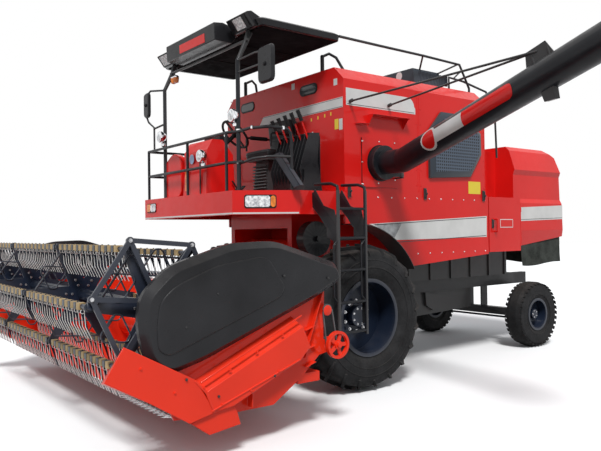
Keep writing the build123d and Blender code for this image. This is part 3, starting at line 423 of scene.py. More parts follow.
def add_tube(bm, points, radius, sides):
    """Round tube through points."""
    rings = []
    count = len(points)
    points = [Vector(p) for p in points]
    for k, p in enumerate(points):
        ahead = points[min(k + 1, count - 1)] - points[max(k - 1, 0)]
        _, side, other = frame_of(ahead)
        if rings:
            before = rings[-1][0].co - points[k - 1]
            side = (before - ahead * (before.dot(ahead) / ahead.length_squared)).normalized()
            other = ahead.normalized().cross(side)
        rings.append([bm.verts.new(p + radius * (side * math.cos(2 * math.pi * m / sides)
                                                 + other * math.sin(2 * math.pi * m / sides)))
                      for m in range(sides)])
    for a, b in zip(rings, rings[1:]):
        for k in range(sides):
            m = (k + 1) % sides
            bm.faces.new((a[k], a[m], b[m], b[k]))
    bm.faces.new(list(reversed(rings[0])))
    bm.faces.new(rings[-1])


wall = box_of("engine_bay")[1].x
front_wall = -100
front_patch("tank_front_band", "machine", FILM,
            [(-430, 3010), (wall - 14, 3010), (wall - 14, 3122), (-330, 3122)], front_wall)
for k, z in enumerate((3016, 3110)):
    front_patch(f"tank_front_line_{k + 1}", "machine", FILM_LINE,
                [(-400, z), (wall - 20, z), (wall - 20, z + 5), (-395, z + 5)], front_wall - 0.9)
corner = ([(-66, 3035), (1009, 3035), (1009, 3100)] + arc((880, 3110), 112, 5, 80, 5)
          + [(634, 3222), (-66, 3222)])
side_patch("tank_corner_band", "machine", FILM, corner, wall)
side_patch("tank_corner_line", "machine", FILM_LINE, oblong(-50, 3047, 990, 3053), wall + 0.9)
side_patch("bay_yellow_film", "machine", YELLOW, oblong(1960, 2130, 2197, 2285), wall)
tags = ((300, 3390, 60, 72, FILM), (1070, 3300, 60, 72, FILM), (1080, 2840, 62, 110, YELLOW),
        (1150, 2830, 56, 120, FILM), (640, 2950, 18, 36, YELLOW), (760, 2955, 18, 36, YELLOW),
        (880, 2960, 18, 36, YELLOW), (985, 2965, 18, 36, YELLOW))
for k, (x, z, wide, high, mat) in enumerate(tags):
    x0, x1, z0, z1 = x - wide / 2, x + wide / 2, z - high / 2, z + high / 2
    front_patch(f"tank_tag_{k + 1}", "machine", mat, oblong(x0, z0, x1, z1), front_wall)
PANE = finish("smoked pane", (0.015, 0.02, 0.025), 0.08, coat=0.8, drift=0.3, grain=0.0)
for k, x in enumerate((-690, 595)):
    rim, oval = (arc((x + 100, 3300), r, -90, 90, steps) + arc((x - 100, 3300), r, 90, 270, steps)
                 for r, steps in ((62, 10), (44, 8)))
    front_patch(f"tank_pane_rim_{k + 1}", "machine", PLASTIC, rim, front_wall, 0.006)
    front_patch(f"tank_pane_{k + 1}", "machine", PANE, oval, front_wall - 6, 0.002)

bm = bmesh.new()
for y in (1042, 1068, 2290):
    add_box(bm, at(wall, y - 2, 2120), at(wall + 2.5, y + 2, 3315))
for z in range(2200, 3300, 180):
    for y in (1020, 1090, 2270):
        add_bolt(bm, at(wall, y, z), (1, 0, 0), 0.012)
for x in range(-1100, 1150, 200):
    add_bolt(bm, at(x, front_wall, 2150), (0, -1, 0), 0.012)
    add_bolt(bm, at(x, front_wall, 3440), (0, -1, 0), 0.012)
smooth(mesh_piece("tank_seams", "machine", RED, bm))
bm = bmesh.new()
for y in (-40, 1152, 2251):
    add_box(bm, at(wall, y - 20, 2040), at(wall + 14, y + 20, 2175))
    add_tube(bm, [at(wall + 12, y, 2165), at(wall + 26, y, 2150), at(wall + 28, y, 2070),
                  at(wall + 12, y, 2055)], 0.008, 8)
    add_turned(bm, at(wall + 30, y, 2107), (1, 0, 0), [(0, 0.014), (0.012, 0.012), (0.014, 0.006)], 14)
smooth(mesh_piece("shield_latches", "machine", BLACK, bm))


# ---------- unloader flange and engine air screen ----------
# Flange plate bolted round its collar; the screen is a perforated panel in a
# bevelled frame, held by screws.
COLLAR_Y, COLLAR_Z = 420, 2430
bm = bmesh.new()
for k in range(12):
    a = 2 * math.pi * k / 12
    add_bolt(bm, at(1280, COLLAR_Y + 168 * math.cos(a), COLLAR_Z + 168 * math.sin(a)), (1, 0, 0), 0.016)
for y, z in ((150, 2190), (150, 2430), (150, 2660), (400, 2670), (640, 2670), (640, 2250), (380, 2205)):
    add_bolt(bm, at(1212, y, z), (1, 0, 0), 0.018)
smooth(mesh_piece("flange_bolts", "machine", STEEL, bm))

MESH = finish("perforated panel", (0.012, 0.016, 0.024), 0.35, coat=0.2, drift=0.3, grain=0.02)
tree = MESH.node_tree
join = tree.links.new
cells = tree.nodes.new("ShaderNodeTexVoronoi")
cells.voronoi_dimensions = "2D"
cells.inputs["Scale"].default_value = 26
cells.inputs["Randomness"].default_value = 0.0
apart, flat = tree.nodes.new("ShaderNodeSeparateXYZ"), tree.nodes.new("ShaderNodeCombineXYZ")
join(tree.nodes["Texture Coordinate"].outputs["Object"], apart.inputs["Vector"])
join(apart.outputs["Y"], flat.inputs["X"])
join(apart.outputs["Z"], flat.inputs["Y"])
join(flat.outputs["Vector"], cells.inputs["Vector"])
punched = tree.nodes.new("ShaderNodeMapRange")
for key, number in (("From Min", 0.28), ("From Max", 0.34), ("To Min", 0.12), ("To Max", 1.0)):
    punched.inputs[key].default_value = number
join(cells.outputs["Distance"], punched.inputs["Value"])
bumps = tree.nodes["Bump"]
bumps.inputs["Strength"].default_value = 0.9
join(punched.outputs["Result"], bumps.inputs["Height"])
# Painted light: the holes are painted near-black as the shade inside them, and the plate between them gets a
# blue-grey painted sheen over its dark navy paint.
hole_shade_and_sheen = tree.nodes.new("ShaderNodeMix")
hole_shade_and_sheen.data_type = "RGBA"
shade_and_sheen_tints = [s for s in hole_shade_and_sheen.inputs if s.type == "RGBA"]
shade_and_sheen_tints[0].default_value = (0.002, 0.002, 0.002, 1)
shade_and_sheen_tints[1].default_value = (0.075, 0.10, 0.14, 1)
join(punched.outputs["Result"], hole_shade_and_sheen.inputs["Factor"])
join([s for s in hole_shade_and_sheen.outputs if s.type == "RGBA"][0], tree.nodes["Principled BSDF"].inputs["Base Color"])
screw_line = [(1221, 2298), (1970, 2352), (2196, 2630), (2183, 2898), (1814, 3105), (1441, 3105),
              (1221, 2869)]
middle = (sum(y for y, _ in screw_line) / 7, sum(z for _, z in screw_line) / 7)
bm = bmesh.new()
for (ya, za), (yb, zb) in zip(screw_line, screw_line[1:] + screw_line[:1]):
    count = max(1, round(math.dist((ya, za), (yb, zb)) / 190))
    for k in range(count):
        y, z = ya + (yb - ya) * k / count, za + (zb - za) * k / count
        y, z = middle[0] + (y - middle[0]) * 0.945, middle[1] + (z - middle[1]) * 0.935
        add_bolt(bm, at(wall + 30, y, z), (1, 0, 0), 0.014)
smooth(mesh_piece("screen_screws", "machine", STEEL, bm))


# ---------- engine cover ----------
# Dark sheet cover; a blank white disc stands at its front, and louvres let
# the air out on both sides.
bm = bmesh.new()
for away in (1, -1):
    for k in range(9):
        y = 1430 + k * 62
        add_prism(bm, [at(away * 868, y, 3540), at(away * 868, y + 40, 3540), at(away * 892, y + 34, 3540)],
                  (0, 0, 1), 0.13)
mesh_piece("cover_louvres", "machine", GREY, bm)
front_patch("cover_disc", "machine", FILM, arc((628, 3640), 52, 0, 345, 23), 1340)


# ---------- tine bars ----------
# Steel tubes turned by the control ring; pressed clamps and oiled hardwood
# bearing blocks alternate along them, and spring-wire tines coil under each.
WOOD = finish("oiled hardwood", (0.42, 0.30, 0.15), 0.55, drift=0.25, drift_scale=9, grain=0.12,
              grain_scale=70)
WIRE = finish("spring wire", (0.80, 0.80, 0.78), 0.35, metal=0.5, drift=0.12, grain=0.02)
reel_y, reel_z, reel_r = -2655, 1125, 490
FIRST_BAR = 55                               # degrees, seen from the left
TINE_PITCH, TINES = 130, 29
spiders = (1975, 420, -1140, -1975)
for bar in range(6):
    name = f"tine_bar_{bar + 1}"
    angle = math.radians(FIRST_BAR + bar * 60)
    y, z = reel_y + reel_r * math.cos(angle), reel_z + reel_r * math.sin(angle)
    wood, clamp, wire = bmesh.new(), bmesh.new(), bmesh.new()
    for k in range(TINES):
        x = (k - (TINES - 1) / 2) * TINE_PITCH
        if min(abs(x - place) for place in spiders) < 45:
            continue
        add_box(wood, at(x - 27, y - 25, z - 25), at(x + 27, y + 25, z + 24))
        if min(abs(x + 65 - place) for place in spiders) > 45 and k < TINES - 1:
            add_box(clamp, at(x + 42, y - 24, z - 24), at(x + 88, y + 24, z + 22))
            add_bolt(clamp, at(x + 65, y, z + 22), (0, 0, 1), 0.013)
        for lean in (-1, 1):
            root = x + lean * 32
            coil = [at(root + lean * (2 + 5 * t / 14), y + 15 * math.cos(t * 0.9),
                       z - 38 + 15 * math.sin(t * 0.9))
                    for t in range(15)]
            add_tube(wire, coil, 0.0026, 5)
            leg = [at(root, y + 14, z - 40), at(root + lean * 2, y + 23, z - 150),
                   at(root + lean * 4, y + 67, z - 243)]
            add_tube(wire, leg, 0.0028, 5)
    mesh_piece(f"{name}_blocks", name, WOOD, wood)
    mesh_piece(f"{name}_clamps", name, GREY, clamp)
    smooth(mesh_piece(f"{name}_wires", name, WIRE, wire), 60)


# ---------- reel spiders ----------
# Pressed steel plates bolted to the shaft; each window between two arms has a
# rolled lip, and a stay runs from arm to arm.
lips = bmesh.new()
for place in spiders:
    for k in range(6):
        middle = math.radians(FIRST_BAR + 30 + k * 60)
        ring = []
        for t in range(36):
            a = 2 * math.pi * t / 36
            pull = 1 / max(abs(math.cos(((a + math.pi / 3) % (2 * math.pi / 3)) - math.pi / 3)), 0.5)
            r = 82 * min(pull, 1.42)
            ring.append((322 - r * math.cos(a), r * math.sin(a)))
        points = [at(place + 7, reel_y + math.cos(middle) * o - math.sin(middle) * w,
                     reel_z + math.sin(middle) * o + math.cos(middle) * w) for o, w in ring]
        add_tube(lips, points + points[:1], 0.007, 6)
    for k in range(6):
        a, b = (math.radians(FIRST_BAR + (k + s) * 60) for s in (0, 1))
        pa, pb = ([reel_y + 440 * math.cos(q), reel_z + 440 * math.sin(q)] for q in (a, b))
        add_tube(lips, [at(place, *pa), at(place, *pb)], 0.009, 6)
smooth(mesh_piece("spider_lips", "reel", NAVY, lips), 60)
bolts = bmesh.new()
for place in spiders:
    for k in range(6):
        a = math.radians(FIRST_BAR + k * 60)
        for r in (95, 150):
            add_bolt(bolts, at(place + 5, reel_y + r * math.cos(a), reel_z + r * math.sin(a)), (1, 0, 0),
                     0.018)
for k in range(6):
    a = math.radians(FIRST_BAR + k * 60)
    add_bolt(bolts, at(2051, reel_y + reel_r * math.cos(a), reel_z + 60 + reel_r * math.sin(a)), (1, 0, 0),
             0.022)
smooth(mesh_piece("spider_bolts", "reel", STEEL, bolts), 40)


# ---------- knife ----------
# Hardened triangular sections riveted to the sliding back, between the
# fingers of the bar.
blades, rivets = bmesh.new(), bmesh.new()
for k in range(-27, 28):
    x = k * 76.2
    add_prism(blades, [at(x - 36, -2552, 348), at(x + 36, -2552, 348), at(x + 8, -2626, 347),
                       at(x - 8, -2626, 347)], (0, 0, 1), 0.003)
    for s in (-15, 15):
        add_turned(rivets, at(x + s, -2560, 351), (0, 0, 1), [(0, 0.004), (0.0015, 0.003)], 8)
mesh_piece("knife_sections", "header", STEEL, blades)
mesh_piece("knife_rivets", "header", STEEL, rivets)


# ---------- header ends ----------
# The covers over the drives at the header's ends are held by black bolts round
# their rim.
cover_high = box_of("end_covers")[1]
bolts = bmesh.new()
for y, z in ((-2560, 1010), (-2560, 640), (-2300, 480), (-1800, 560), (-1300, 800), (-1000, 1050),
             (-1250, 1290), (-1700, 1330), (-2300, 1230)):
    add_bolt(bolts, at(cover_high.x - 4, y, z), (1, 0, 0), 0.016)
smooth(mesh_piece("cover_screws", "header", BLACK, bolts))


# ---------- deck and its front ----------
# Folded red fascia with moulded lamp units let into it; the floor is rolled
# chequer plate under a ribbed rubber mat, with three moulded pedals.
DECK_Z = 2100
GLASS = finish("lamp glass", (0.66, 0.70, 0.76), 0.10, coat=0.8, drift=0.45, drift_scale=34, grain=0.15,
               grain_scale=30)
AMBER = finish("amber lens", (0.80, 0.22, 0.02), 0.18, coat=0.6, drift=0.25, drift_scale=20, grain=0.1,
               grain_scale=60)
CHROME = finish("chrome plate", (0.75, 0.76, 0.78), 0.12, metal=1.0, drift=0.1, grain=0.01)
MAT = finish("ribbed rubber mat", (0.022, 0.022, 0.023), 0.7, drift=0.2, drift_scale=4, grain=0.3,
             grain_scale=40, dust=0.15)


def lamp_unit(name, middle, along, outward, wide, high, share):
    """Rectangular lamp: bezel, clear reflector part with flutes, amber end."""
    along, outward, up = Vector(along).normalized(), Vector(outward).normalized(), Vector((0, 0, 1))
    parts = {"bezel": (PLASTIC, -0.5, 0.5, 0.5, 0.0, 0.006),
             "lens": (GLASS, -0.47, share - 0.5, 0.42, 0.006, 0.013),
             "amber": (AMBER, share - 0.48, 0.47, 0.42, 0.006, 0.012)}
    cut = 0.016 / max(wide, high)
    for part, (mat, a0, a1, b1, d0, d1) in parts.items():
        bm = bmesh.new()
        corners = []
        for a, b, ca, cb in ((a0, -b1, 1, 1), (a1, -b1, -1, 1), (a1, b1, -1, -1), (a0, b1, 1, -1)):
            first, second = (a + ca * cut, b), (a, b + cb * cut * wide / high)
            corners += [first, second] if ca * cb < 0 else [second, first]
        points = [middle + along * (a * wide) + up * (b * high) + outward * d0 for a, b in corners]
        add_prism(bm, points, outward, d1 - d0)
        if part == "lens":
            for k in range(1, 9):
                a = a0 + (a1 - a0) * k / 9
                base = middle + along * (a * wide) + outward * d1
                line = [base - up * (b1 * high * 0.96), base + up * (b1 * high * 0.96)]
                add_tube(bm, line, 0.0022, 5)
        mesh_piece(f"{name}_{part}", "machine", mat, bm)


corner_run = Vector((330, 600, 0)).normalized()
corner_out = Vector((600, -330, 0)).normalized()
lamp_unit("headlamp_left", at(1005, -1054, 1988), corner_run, corner_out, 0.326, 0.135, 0.80)
lamp_unit("headlamp_right", at(-1025, -1300, 1993), (-1, 0, 0), (0, -1, 0), 0.256, 0.108, 0.55)
deck_front = oblong(-1215, 1862, 868, 1878)
front_patch("fascia_line", "machine", FILM, deck_front, -1300)
bm = bmesh.new()
start, end, line_up = at(872, -1299, 1862), at(1195, -712, 1862), Vector((0, 0, 0.016))
add_prism(bm, [start, end, end + line_up, start + line_up], corner_out, 0.0012)
mesh_piece("fascia_corner_line", "machine", FILM, bm)
bm = bmesh.new()
for row in range(26):
    for col in range(44):
        x, y = -1160 + col * 48 + (row % 2) * 24, -1260 + row * 44
        turn = 0.7 if (row + col) % 2 else -0.7
        if x < 860 and not (-440 < x < 350 and y < -780):
            dx, dy = 15 * math.cos(turn), 15 * math.sin(turn)
            add_prism(bm, [at(x - dx, y - dy, DECK_Z), at(x + dy * 0.25, y - dx * 0.25, DECK_Z),
                           at(x + dx, y + dy, DECK_Z),
                           at(x - dy * 0.25, y + dx * 0.25, DECK_Z)], (0, 0, 1), 0.0025)
mesh_piece("chequer_bars", "machine", RED, bm)
bm = bmesh.new()
for k in range(24):
    x = -380 + k * 30
    add_box(bm, at(x, -760, DECK_Z), at(x + 18, -560, DECK_Z + 7))
add_box(bm, at(-395, -775, DECK_Z), at(360, -545, DECK_Z + 3))
mesh_piece("floor_mat", "machine", MAT, bm)
bm = bmesh.new()
pad_out = Vector((0, -0.7, 0.7))
for x in (-330, 20, 120):
    add_tube(bm, [at(x + 30, -860, 2260), at(x + 30, -800, 2180), at(x + 30, -740, 2150)], 0.010, 8)
    add_prism(bm, [at(x, -760, 2145), at(x + 62, -760, 2145), at(x + 62, -700, 2205), at(x, -700, 2205)],
              pad_out, 0.010)
    for k in range(4):
        base = at(x, -752 + k * 14, 2153 + k * 14) + pad_out * 0.010
        across, rise = Vector((0.062, 0, 0)), Vector((0, 0.006, 0.006))
        add_prism(bm, [base, base + across, base + Vector((0.062, 0.006, 0.006)), base + rise], pad_out,
                  0.004)
smooth(mesh_piece("pedals", "machine", PLASTIC, bm), 40)


# ---------- steering console ----------
# Two folded red covers with a black joint between them, an instrument box
# under the wheel, a reflector and a blank round film on its front.
bm = bmesh.new()
add_box(bm, at(-3, -1192, 2110), at(3, -1176, 2600))
mesh_piece("console_joint", "machine", BLACK, bm)
front_patch("console_reflector", "machine", AMBER, [(-352, 2170), (-300, 2160), (-300, 2392), (-340, 2400)],
            -1190)
front_patch("console_film", "machine", finish("pale blue film", (0.35, 0.50, 0.75), 0.35, coat=0.3,
                                              drift=0.1, grain=0.01),
            arc((-205, 2520), 55, 0, 345, 23), -1178)
bm = bmesh.new()
add_prism(bm, [at(-400, -905, 2700), at(-400, -905, 2800), at(-400, -860, 2820), at(-400, -800, 2700),
               at(-400, -815, 2640)],
          (1, 0, 0), 0.36)
mesh_piece("instrument_box", "machine", PLASTIC, bm)
dials, bezels = bmesh.new(), bmesh.new()
facing = Vector((0, 0.90, 0.44)).normalized()
for k, (x, radius) in enumerate(((-340, 0.036), (-245, 0.046), (-150, 0.036), (-80, 0.022))):
    spot = at(x, -830, 2760) + facing * 0.001
    add_turned(dials, spot, facing, [(-0.01, radius), (0.003, radius)], 24)
    add_turned(bezels, spot, facing, [(-0.01, radius + 0.007), (0.006, radius + 0.006),
                                      (0.008, radius + 0.002), (0.0035, radius)], 24)
smooth(mesh_piece("dials", "machine", FILM, dials))
smooth(mesh_piece("dial_bezels", "machine", CHROME, bezels))
hub = at(-150, -630, 2840)
tilt = Vector((0, 260, 230)).normalized()
bm = bmesh.new()
add_turned(bm, hub, tilt, [(0.012, 0.050), (0.024, 0.046), (0.030, 0.030)], 28)
_, across, other = frame_of(tilt)
for k in range(40):
    a = 2 * math.pi * k / 40
    rim = hub + 0.190 * (across * math.cos(a) + other * math.sin(a))
    add_turned(bm, rim, -across * math.sin(a) + other * math.cos(a), [(-0.003, 0.0152), (0.003, 0.0152)], 10)
smooth(mesh_piece("wheel_cap_and_grip_ribs", "machine", PLASTIC, bm), 40)


# ---------- control levers ----------
# Red steel levers with ribbed rubber grips, standing in bent black guides; each
# guide has a bolt at its head, and a folded grey rest slopes down beside them.
shafts, grips, heads = bmesh.new(), bmesh.new(), bmesh.new()
for step in range(5):
    x = 530 + step * 118 + 33
    low, high = at(x, -420, 2560), at(x, -540, 2790 + 12 * step)
    add_tube(shafts, [low, high], 0.0100, 8)
    axis = (at(x, -590, 2890 + 12 * step) - high).normalized()
    profile = []
    for k in range(8):
        profile += [(0.004 + k * 0.0155, 0.0185), (0.007 + k * 0.0155, 0.0225), (0.014 + k * 0.0155, 0.0225),
                    (0.016 + k * 0.0155, 0.0185)]
    add_turned(grips, high, axis, profile, 14)
    add_bolt(heads, at(x, -400, 2725), (0, 0, 1), 0.020)
smooth(mesh_piece("lever_shafts", "machine", RED, shafts))
smooth(mesh_piece("lever_grips", "machine", PLASTIC, grips), 50)
smooth(mesh_piece("lever_guide_bolts", "machine", STEEL, heads))
bm = bmesh.new()
low, high, wide = at(870, -800, 2480), at(1225, -800, 2120), Vector((0.105, 0, 0.02))
for a, b, deep in ((0, 1, 0.004), (0, 0.05, 0.05), (0.95, 1, 0.05)):
    add_prism(bm, [low + wide * a, high + wide * a, high + wide * b, low + wide * b], (0, 1, 0), deep)
mesh_piece("arm_rest_chute", "machine", GREY, bm)


# ---------- seat ----------
# Sprung seat on a folded pedestal: foam cushions in stitched vinyl with piping
# round the edge, sewn channels across them, and tube arms.
def cushion(name, low, high, crown, channels):
    """Foam pad: crowned, pulled in between its corners, with sewn channels."""
    low, high = Vector(low), Vector(high)
    middle, half = (low + high) / 2, (high - low) / 2
    steps = 40
    bm = bmesh.new()
    grid = {}

    def spot(u, v, face):
        edge = max(abs(u), abs(v))
        round_off = (1 - edge ** 6) ** 0.5 if edge < 1 else 0
        pull = 1 - 0.030 * (1 - min(abs(u), abs(v)) ** 2)
        rise = (0.55 + 0.45 * round_off) + crown * (1 - u * u) * (1 - v * v)
        if face > 0:
            for c in channels:
                rise -= 0.16 * math.exp(-((v - c) / 0.045) ** 2) * (1 - edge ** 8)
        corner = 1 - 0.055 * (abs(u) * abs(v)) ** 4
        return middle + Vector((half.x * u * pull * corner, half.y * v * pull * corner, half.z * face * rise))

    for face in (1, -1):
        for i in range(steps + 1):
            for j in range(steps + 1):
                u, v = -1 + 2 * i / steps, -1 + 2 * j / steps
                grid[face, i, j] = bm.verts.new(spot(u, v, face))
        for i in range(steps):
            for j in range(steps):
                bm.faces.new([grid[face, i, j], grid[face, i + 1, j], grid[face, i + 1, j + 1],
                              grid[face, i, j + 1]])
    border = ([(i, 0) for i in range(steps)] + [(steps, j) for j in range(steps)]
              + [(i, steps) for i in range(steps, 0, -1)] + [(0, j) for j in range(steps, 0, -1)])
    for k in range(len(border)):
        a, b = border[k], border[(k + 1) % len(border)]
        bm.faces.new([grid[1, *a], grid[1, *b], grid[-1, *b], grid[-1, *a]])
    rim = [(grid[1, *p].co * 0.65 + grid[-1, *p].co * 0.35) for p in border]
    piece = mesh_piece(name, "machine", VINYL, bm)
    smooth(piece, 70)
    cord = bmesh.new()
    add_tube(cord, rim + rim[:1], 0.0045, 6)
    smooth(mesh_piece(f"{name}_piping", "machine", PLASTIC, cord), 60)
    return piece


seat_pad = cushion("seat_pad", at(-58, -558, 2535), at(418, -165, 2622), 0.35, (-0.35, 0.1, 0.5))
back_pad = cushion("back_pad_flat", at(-50, -560, 2580), at(410, -165, 2650), 0.30, (-0.5, -0.1, 0.3))
middle = at(180, -362, 2615)
back_turn = (Matrix.Translation(at(180, -190, 2790)) @ Matrix.Rotation(math.radians(96), 4, "X")
             @ Matrix.Translation(-middle))
for piece in (back_pad, bpy.data.objects["back_pad_flat_piping"]):
    piece.data.transform(back_turn)
back_pad.name = "back_pad"
bpy.data.objects["back_pad_flat_piping"].name = "back_pad_piping"
bm = bmesh.new()
add_prism(bm, [at(30, -500, DECK_Z), at(330, -500, DECK_Z), at(310, -470, 2500), at(50, -470, 2500)],
          (0, 1, 0), 0.27)
add_prism(bm, [at(-40, -545, 2500), at(400, -545, 2500), at(400, -180, 2500), at(-40, -180, 2500)],
          (0, 0, 1), 0.035)
add_prism(bm, [at(-45, -150, 2540), at(405, -150, 2540), at(385, -140, 2970), at(-25, -140, 2970)],
          (0, 1, 0), 0.006)
for k in range(9):
    add_tube(bm, [at(46, -505, 2150 + k * 36), at(314, -505, 2150 + k * 36)], 0.010, 6)
base = mesh_piece("seat_base", "machine", BLACK, bm)
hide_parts("seat")
bm = bmesh.new()
for x in (-75, 435):
    add_tube(bm, [at(x, -165, 2560), at(x, -165, 2770), at(x, -190, 2800), at(x, -500, 2800),
                  at(x, -520, 2780), at(x, -520, 2640)], 0.011, 8)
    add_turned(bm, at(x, -470, 2803), (0, 1, 0), [(0, 0.012), (0.01, 0.024), (0.24, 0.024), (0.25, 0.012)],
               12)
smooth(mesh_piece("seat_arms", "machine", PLASTIC, bm), 40)


# ---------- canopy lamps, plate and ribs ----------
# Moulded roof with lamp pods and a raised front; its blank red plate is let
# in flush, and the lamps sit behind clear panes.
tilted = [(-226, 3712), (352, 3706), (352, 3800), (-226, 3806)]
bm = bmesh.new()
add_prism(bm, [at(x, -1301 - (z - 3685) * 0.0535, z) for x, z in tilted], (0, -1, 0), 0.0022)
mesh_piece("visor_plate", "machine", RED, bm)
pod_along = Vector((0, -100, 132)).normalized()
pod_out = Vector((0, -132, -100)).normalized()
for name, x0, x1 in (("left", 722, 911), ("right", -1009, -758)):
    middle = (at(x0, -1155, 3811) + at(x1, -1155, 3811)) / 2
    wide = (x1 - x0) * MM
    for part, mat, s0, s1, depth in (("frame", PLASTIC, -0.60, 0.85, 0.004),
                                     ("lens", GLASS, -0.44, 0.42, 0.009),
                                     ("blank", PLASTIC, 0.50, 0.78, 0.009)):
        bm = bmesh.new()
        tall = 0.075 if part == "frame" else 0.060
        points = [middle + Vector((s * wide, 0, 0)) + pod_along * t
                  for s, t in ((s0, -tall), (s1, -tall), (s1, tall), (s0, tall))]
        add_prism(bm, points, pod_out, depth)
        if part == "lens":
            for k in range(1, 6):
                add_tube(bm, [middle + Vector(((s0 + (s1 - s0) * k / 6) * wide, 0, 0)) + pod_along * t
                              + pod_out * 0.009
                              for t in (-tall * 0.9, tall * 0.9)], 0.002, 5)
        mesh_piece(f"pod_{part}_{name}", "machine", mat, bm)
bm = bmesh.new()
for x in range(-1000, 1001, 125):
    add_tube(bm, [at(x, -1080, 3829), at(x, -60, 3829)], 0.006, 6)
smooth(mesh_piece("roof_ribs", "machine", BLACK, bm), 50)


# ---------- work lamps, amber lamps and mirrors ----------
# Chromed round lamps on the rail with fluted glass; two small amber lamps hang
# from the front tube; the mirrors' silvered faces look back to the driver.
LAMP_PLACES = [(-771, -1260, 2837), (215, -1260, 2509), (808, -1214, 2863)]
glasses, bodies, feet = bmesh.new(), bmesh.new(), bmesh.new()
for x, y, z in LAMP_PLACES:
    face = at(x, y - 50, z)
    add_turned(glasses, face, (0, -1, 0), [(-0.004, 0.057), (0.006, 0.052), (0.012, 0.036), (0.014, 0.012)],
               28)
    for k in range(-4, 5):
        reach = math.sqrt(max(0.0, 0.050 ** 2 - (k * 0.011) ** 2))
        add_tube(glasses, [face + Vector((k * 0.011, -0.011 + abs(k) * 0.0013, -reach)),
                           face + Vector((k * 0.011, -0.011 + abs(k) * 0.0013, reach))], 0.0016, 4)
    add_turned(bodies, face, (0, 1, 0), [(-0.006, 0.057), (-0.006, 0.064), (0.004, 0.068), (0.024, 0.0685),
                                         (0.046, 0.060), (0.074, 0.042), (0.087, 0.020)], 28)
    add_turned(feet, at(x, y, z - 92), (0, 0, 1), [(-0.024, 0.012), (-0.016, 0.026), (0.004, 0.029),
                                                   (0.018, 0.022), (0.028, 0.012)], 18)
smooth(mesh_piece("work_lamp_glass", "machine", GLASS, glasses), 40)
smooth(mesh_piece("work_lamp_shells", "machine", CHROME, bodies), 40)
smooth(mesh_piece("work_lamp_feet", "machine", CHROME, feet), 40)
ambers, caps = bmesh.new(), bmesh.new()
for x in (-800, -730):
    add_turned(ambers, at(x, -1100, 3502), (0, 0, 1), [(0, 0.014), (0.008, 0.030), (0.040, 0.0345),
                                                       (0.066, 0.0345)], 20)
    add_turned(caps, at(x, -1100, 3568), (0, 0, 1), [(0, 0.036), (0.012, 0.036), (0.026, 0.024)], 20)
smooth(mesh_piece("amber_lamps", "machine", AMBER, ambers), 40)
smooth(mesh_piece("amber_lamp_caps", "machine", CHROME, caps), 40)
SILVER = finish("silvered mirror", (0.80, 0.82, 0.84), 0.04, metal=1.0, drift=0.02, grain=0.0)
MIRRORS = ((1410, -1240, 3260, 250, 350), (-1150, -1290, 3275, 150, 310))
bm, hubs = bmesh.new(), bmesh.new()
for x, y, z, wide, high in MIRRORS:
    outline = oblong(x - wide / 2 + 12, z - high / 2 + 20, x + wide / 2 - 12, z + high / 2 - 20)
    add_prism(bm, [at(a, y + 14, b) for a, b in outline], (0, 1, 0), 0.002)
    add_turned(hubs, at(x, y - 20, z), (0, -1, 0), [(0, 0.020), (0.012, 0.020), (0.020, 0.010)], 14)
mesh_piece("mirror_faces", "machine", SILVER, bm)
smooth(mesh_piece("mirror_hubs", "machine", PLASTIC, hubs), 40)


# ---------- handrail end ----------
# The rails turn in beside the ladder and come down to the deck as one bent
# tube, clipped to the post.
bm = bmesh.new()
add_tube(bm, [at(840, -1200, 2700), at(940, -1130, 2728), at(1050, -1010, 2738), at(1105, -890, 2735),
              at(1140, -800, 2715), at(1148, -772, 2680), at(1150, -765, 2620), at(1150, -762, 2360),
              at(1146, -760, 2105)], 0.016, 12)
add_tube(bm, [at(840, -1200, 2370), at(960, -1110, 2420), at(1060, -980, 2440), at(1148, -768, 2440)], 0.014,
         12)
smooth(mesh_piece("handrail_end", "machine", BLACK, bm), 60)
bm = bmesh.new()
for spot, way in (((960, -1112, 2732), (0.8, 0.6, 0)), ((1124, -845, 2728), (0.4, 0.9, 0)),
                  ((840, -1200, 2385), (0, 0, 1)), ((840, -1200, 2715), (0, 0, 1))):
    add_turned(bm, at(*spot), way, [(-0.009, 0.022), (-0.009, 0.0235), (0.009, 0.0235), (0.009, 0.022)], 14)
smooth(mesh_piece("rail_clips", "machine", CHROME, bm), 50)


# ---------- canopy ----------
# Moulded roof with a turned-down rim and a closed dark underside; two lamp
# pods and a middle visor stand on its front edge.


def soften(piece, width, segments=2):
    """Small rounded edges, as folded or cast edges have."""
    bevel = piece.modifiers.new("edges", "BEVEL")
    bevel.width = width
    bevel.segments = segments
    bevel.limit_method = "ANGLE"
    bevel.angle_limit = math.radians(30)
    smooth(piece, 40)
    return piece


def side_prism(bm, outline, x0, x1):
    """Outline of (rearward, up) millimetres, spread from x0 to x1."""
    add_prism(bm, [at(x0, y, z) for y, z in outline], (1, 0, 0), (x1 - x0) * MM)


def flat_prism(bm, outline, z0, z1):
    """Outline of (left, rearward) millimetres, spread from z0 to z1."""
    add_prism(bm, [at(x, y, z0) for x, y in outline], (0, 0, 1), (z1 - z0) * MM)


def rounded(outline, radius, steps=5):
    """Outline with its corners rounded."""
    made = []
    count = len(outline)
    for k in range(count):
        p, q, r = (Vector(outline[(k + s) % count]) for s in (-1, 0, 1))
        reach = min(radius, (p - q).length * 0.45, (r - q).length * 0.45)
        start, end = q + (p - q).normalized() * reach, q + (r - q).normalized() * reach
        for t in range(steps + 1):
            f = t / steps
            made.append(tuple(start * (1 - f) ** 2 + q * 2 * f * (1 - f) + end * f * f))
    return made


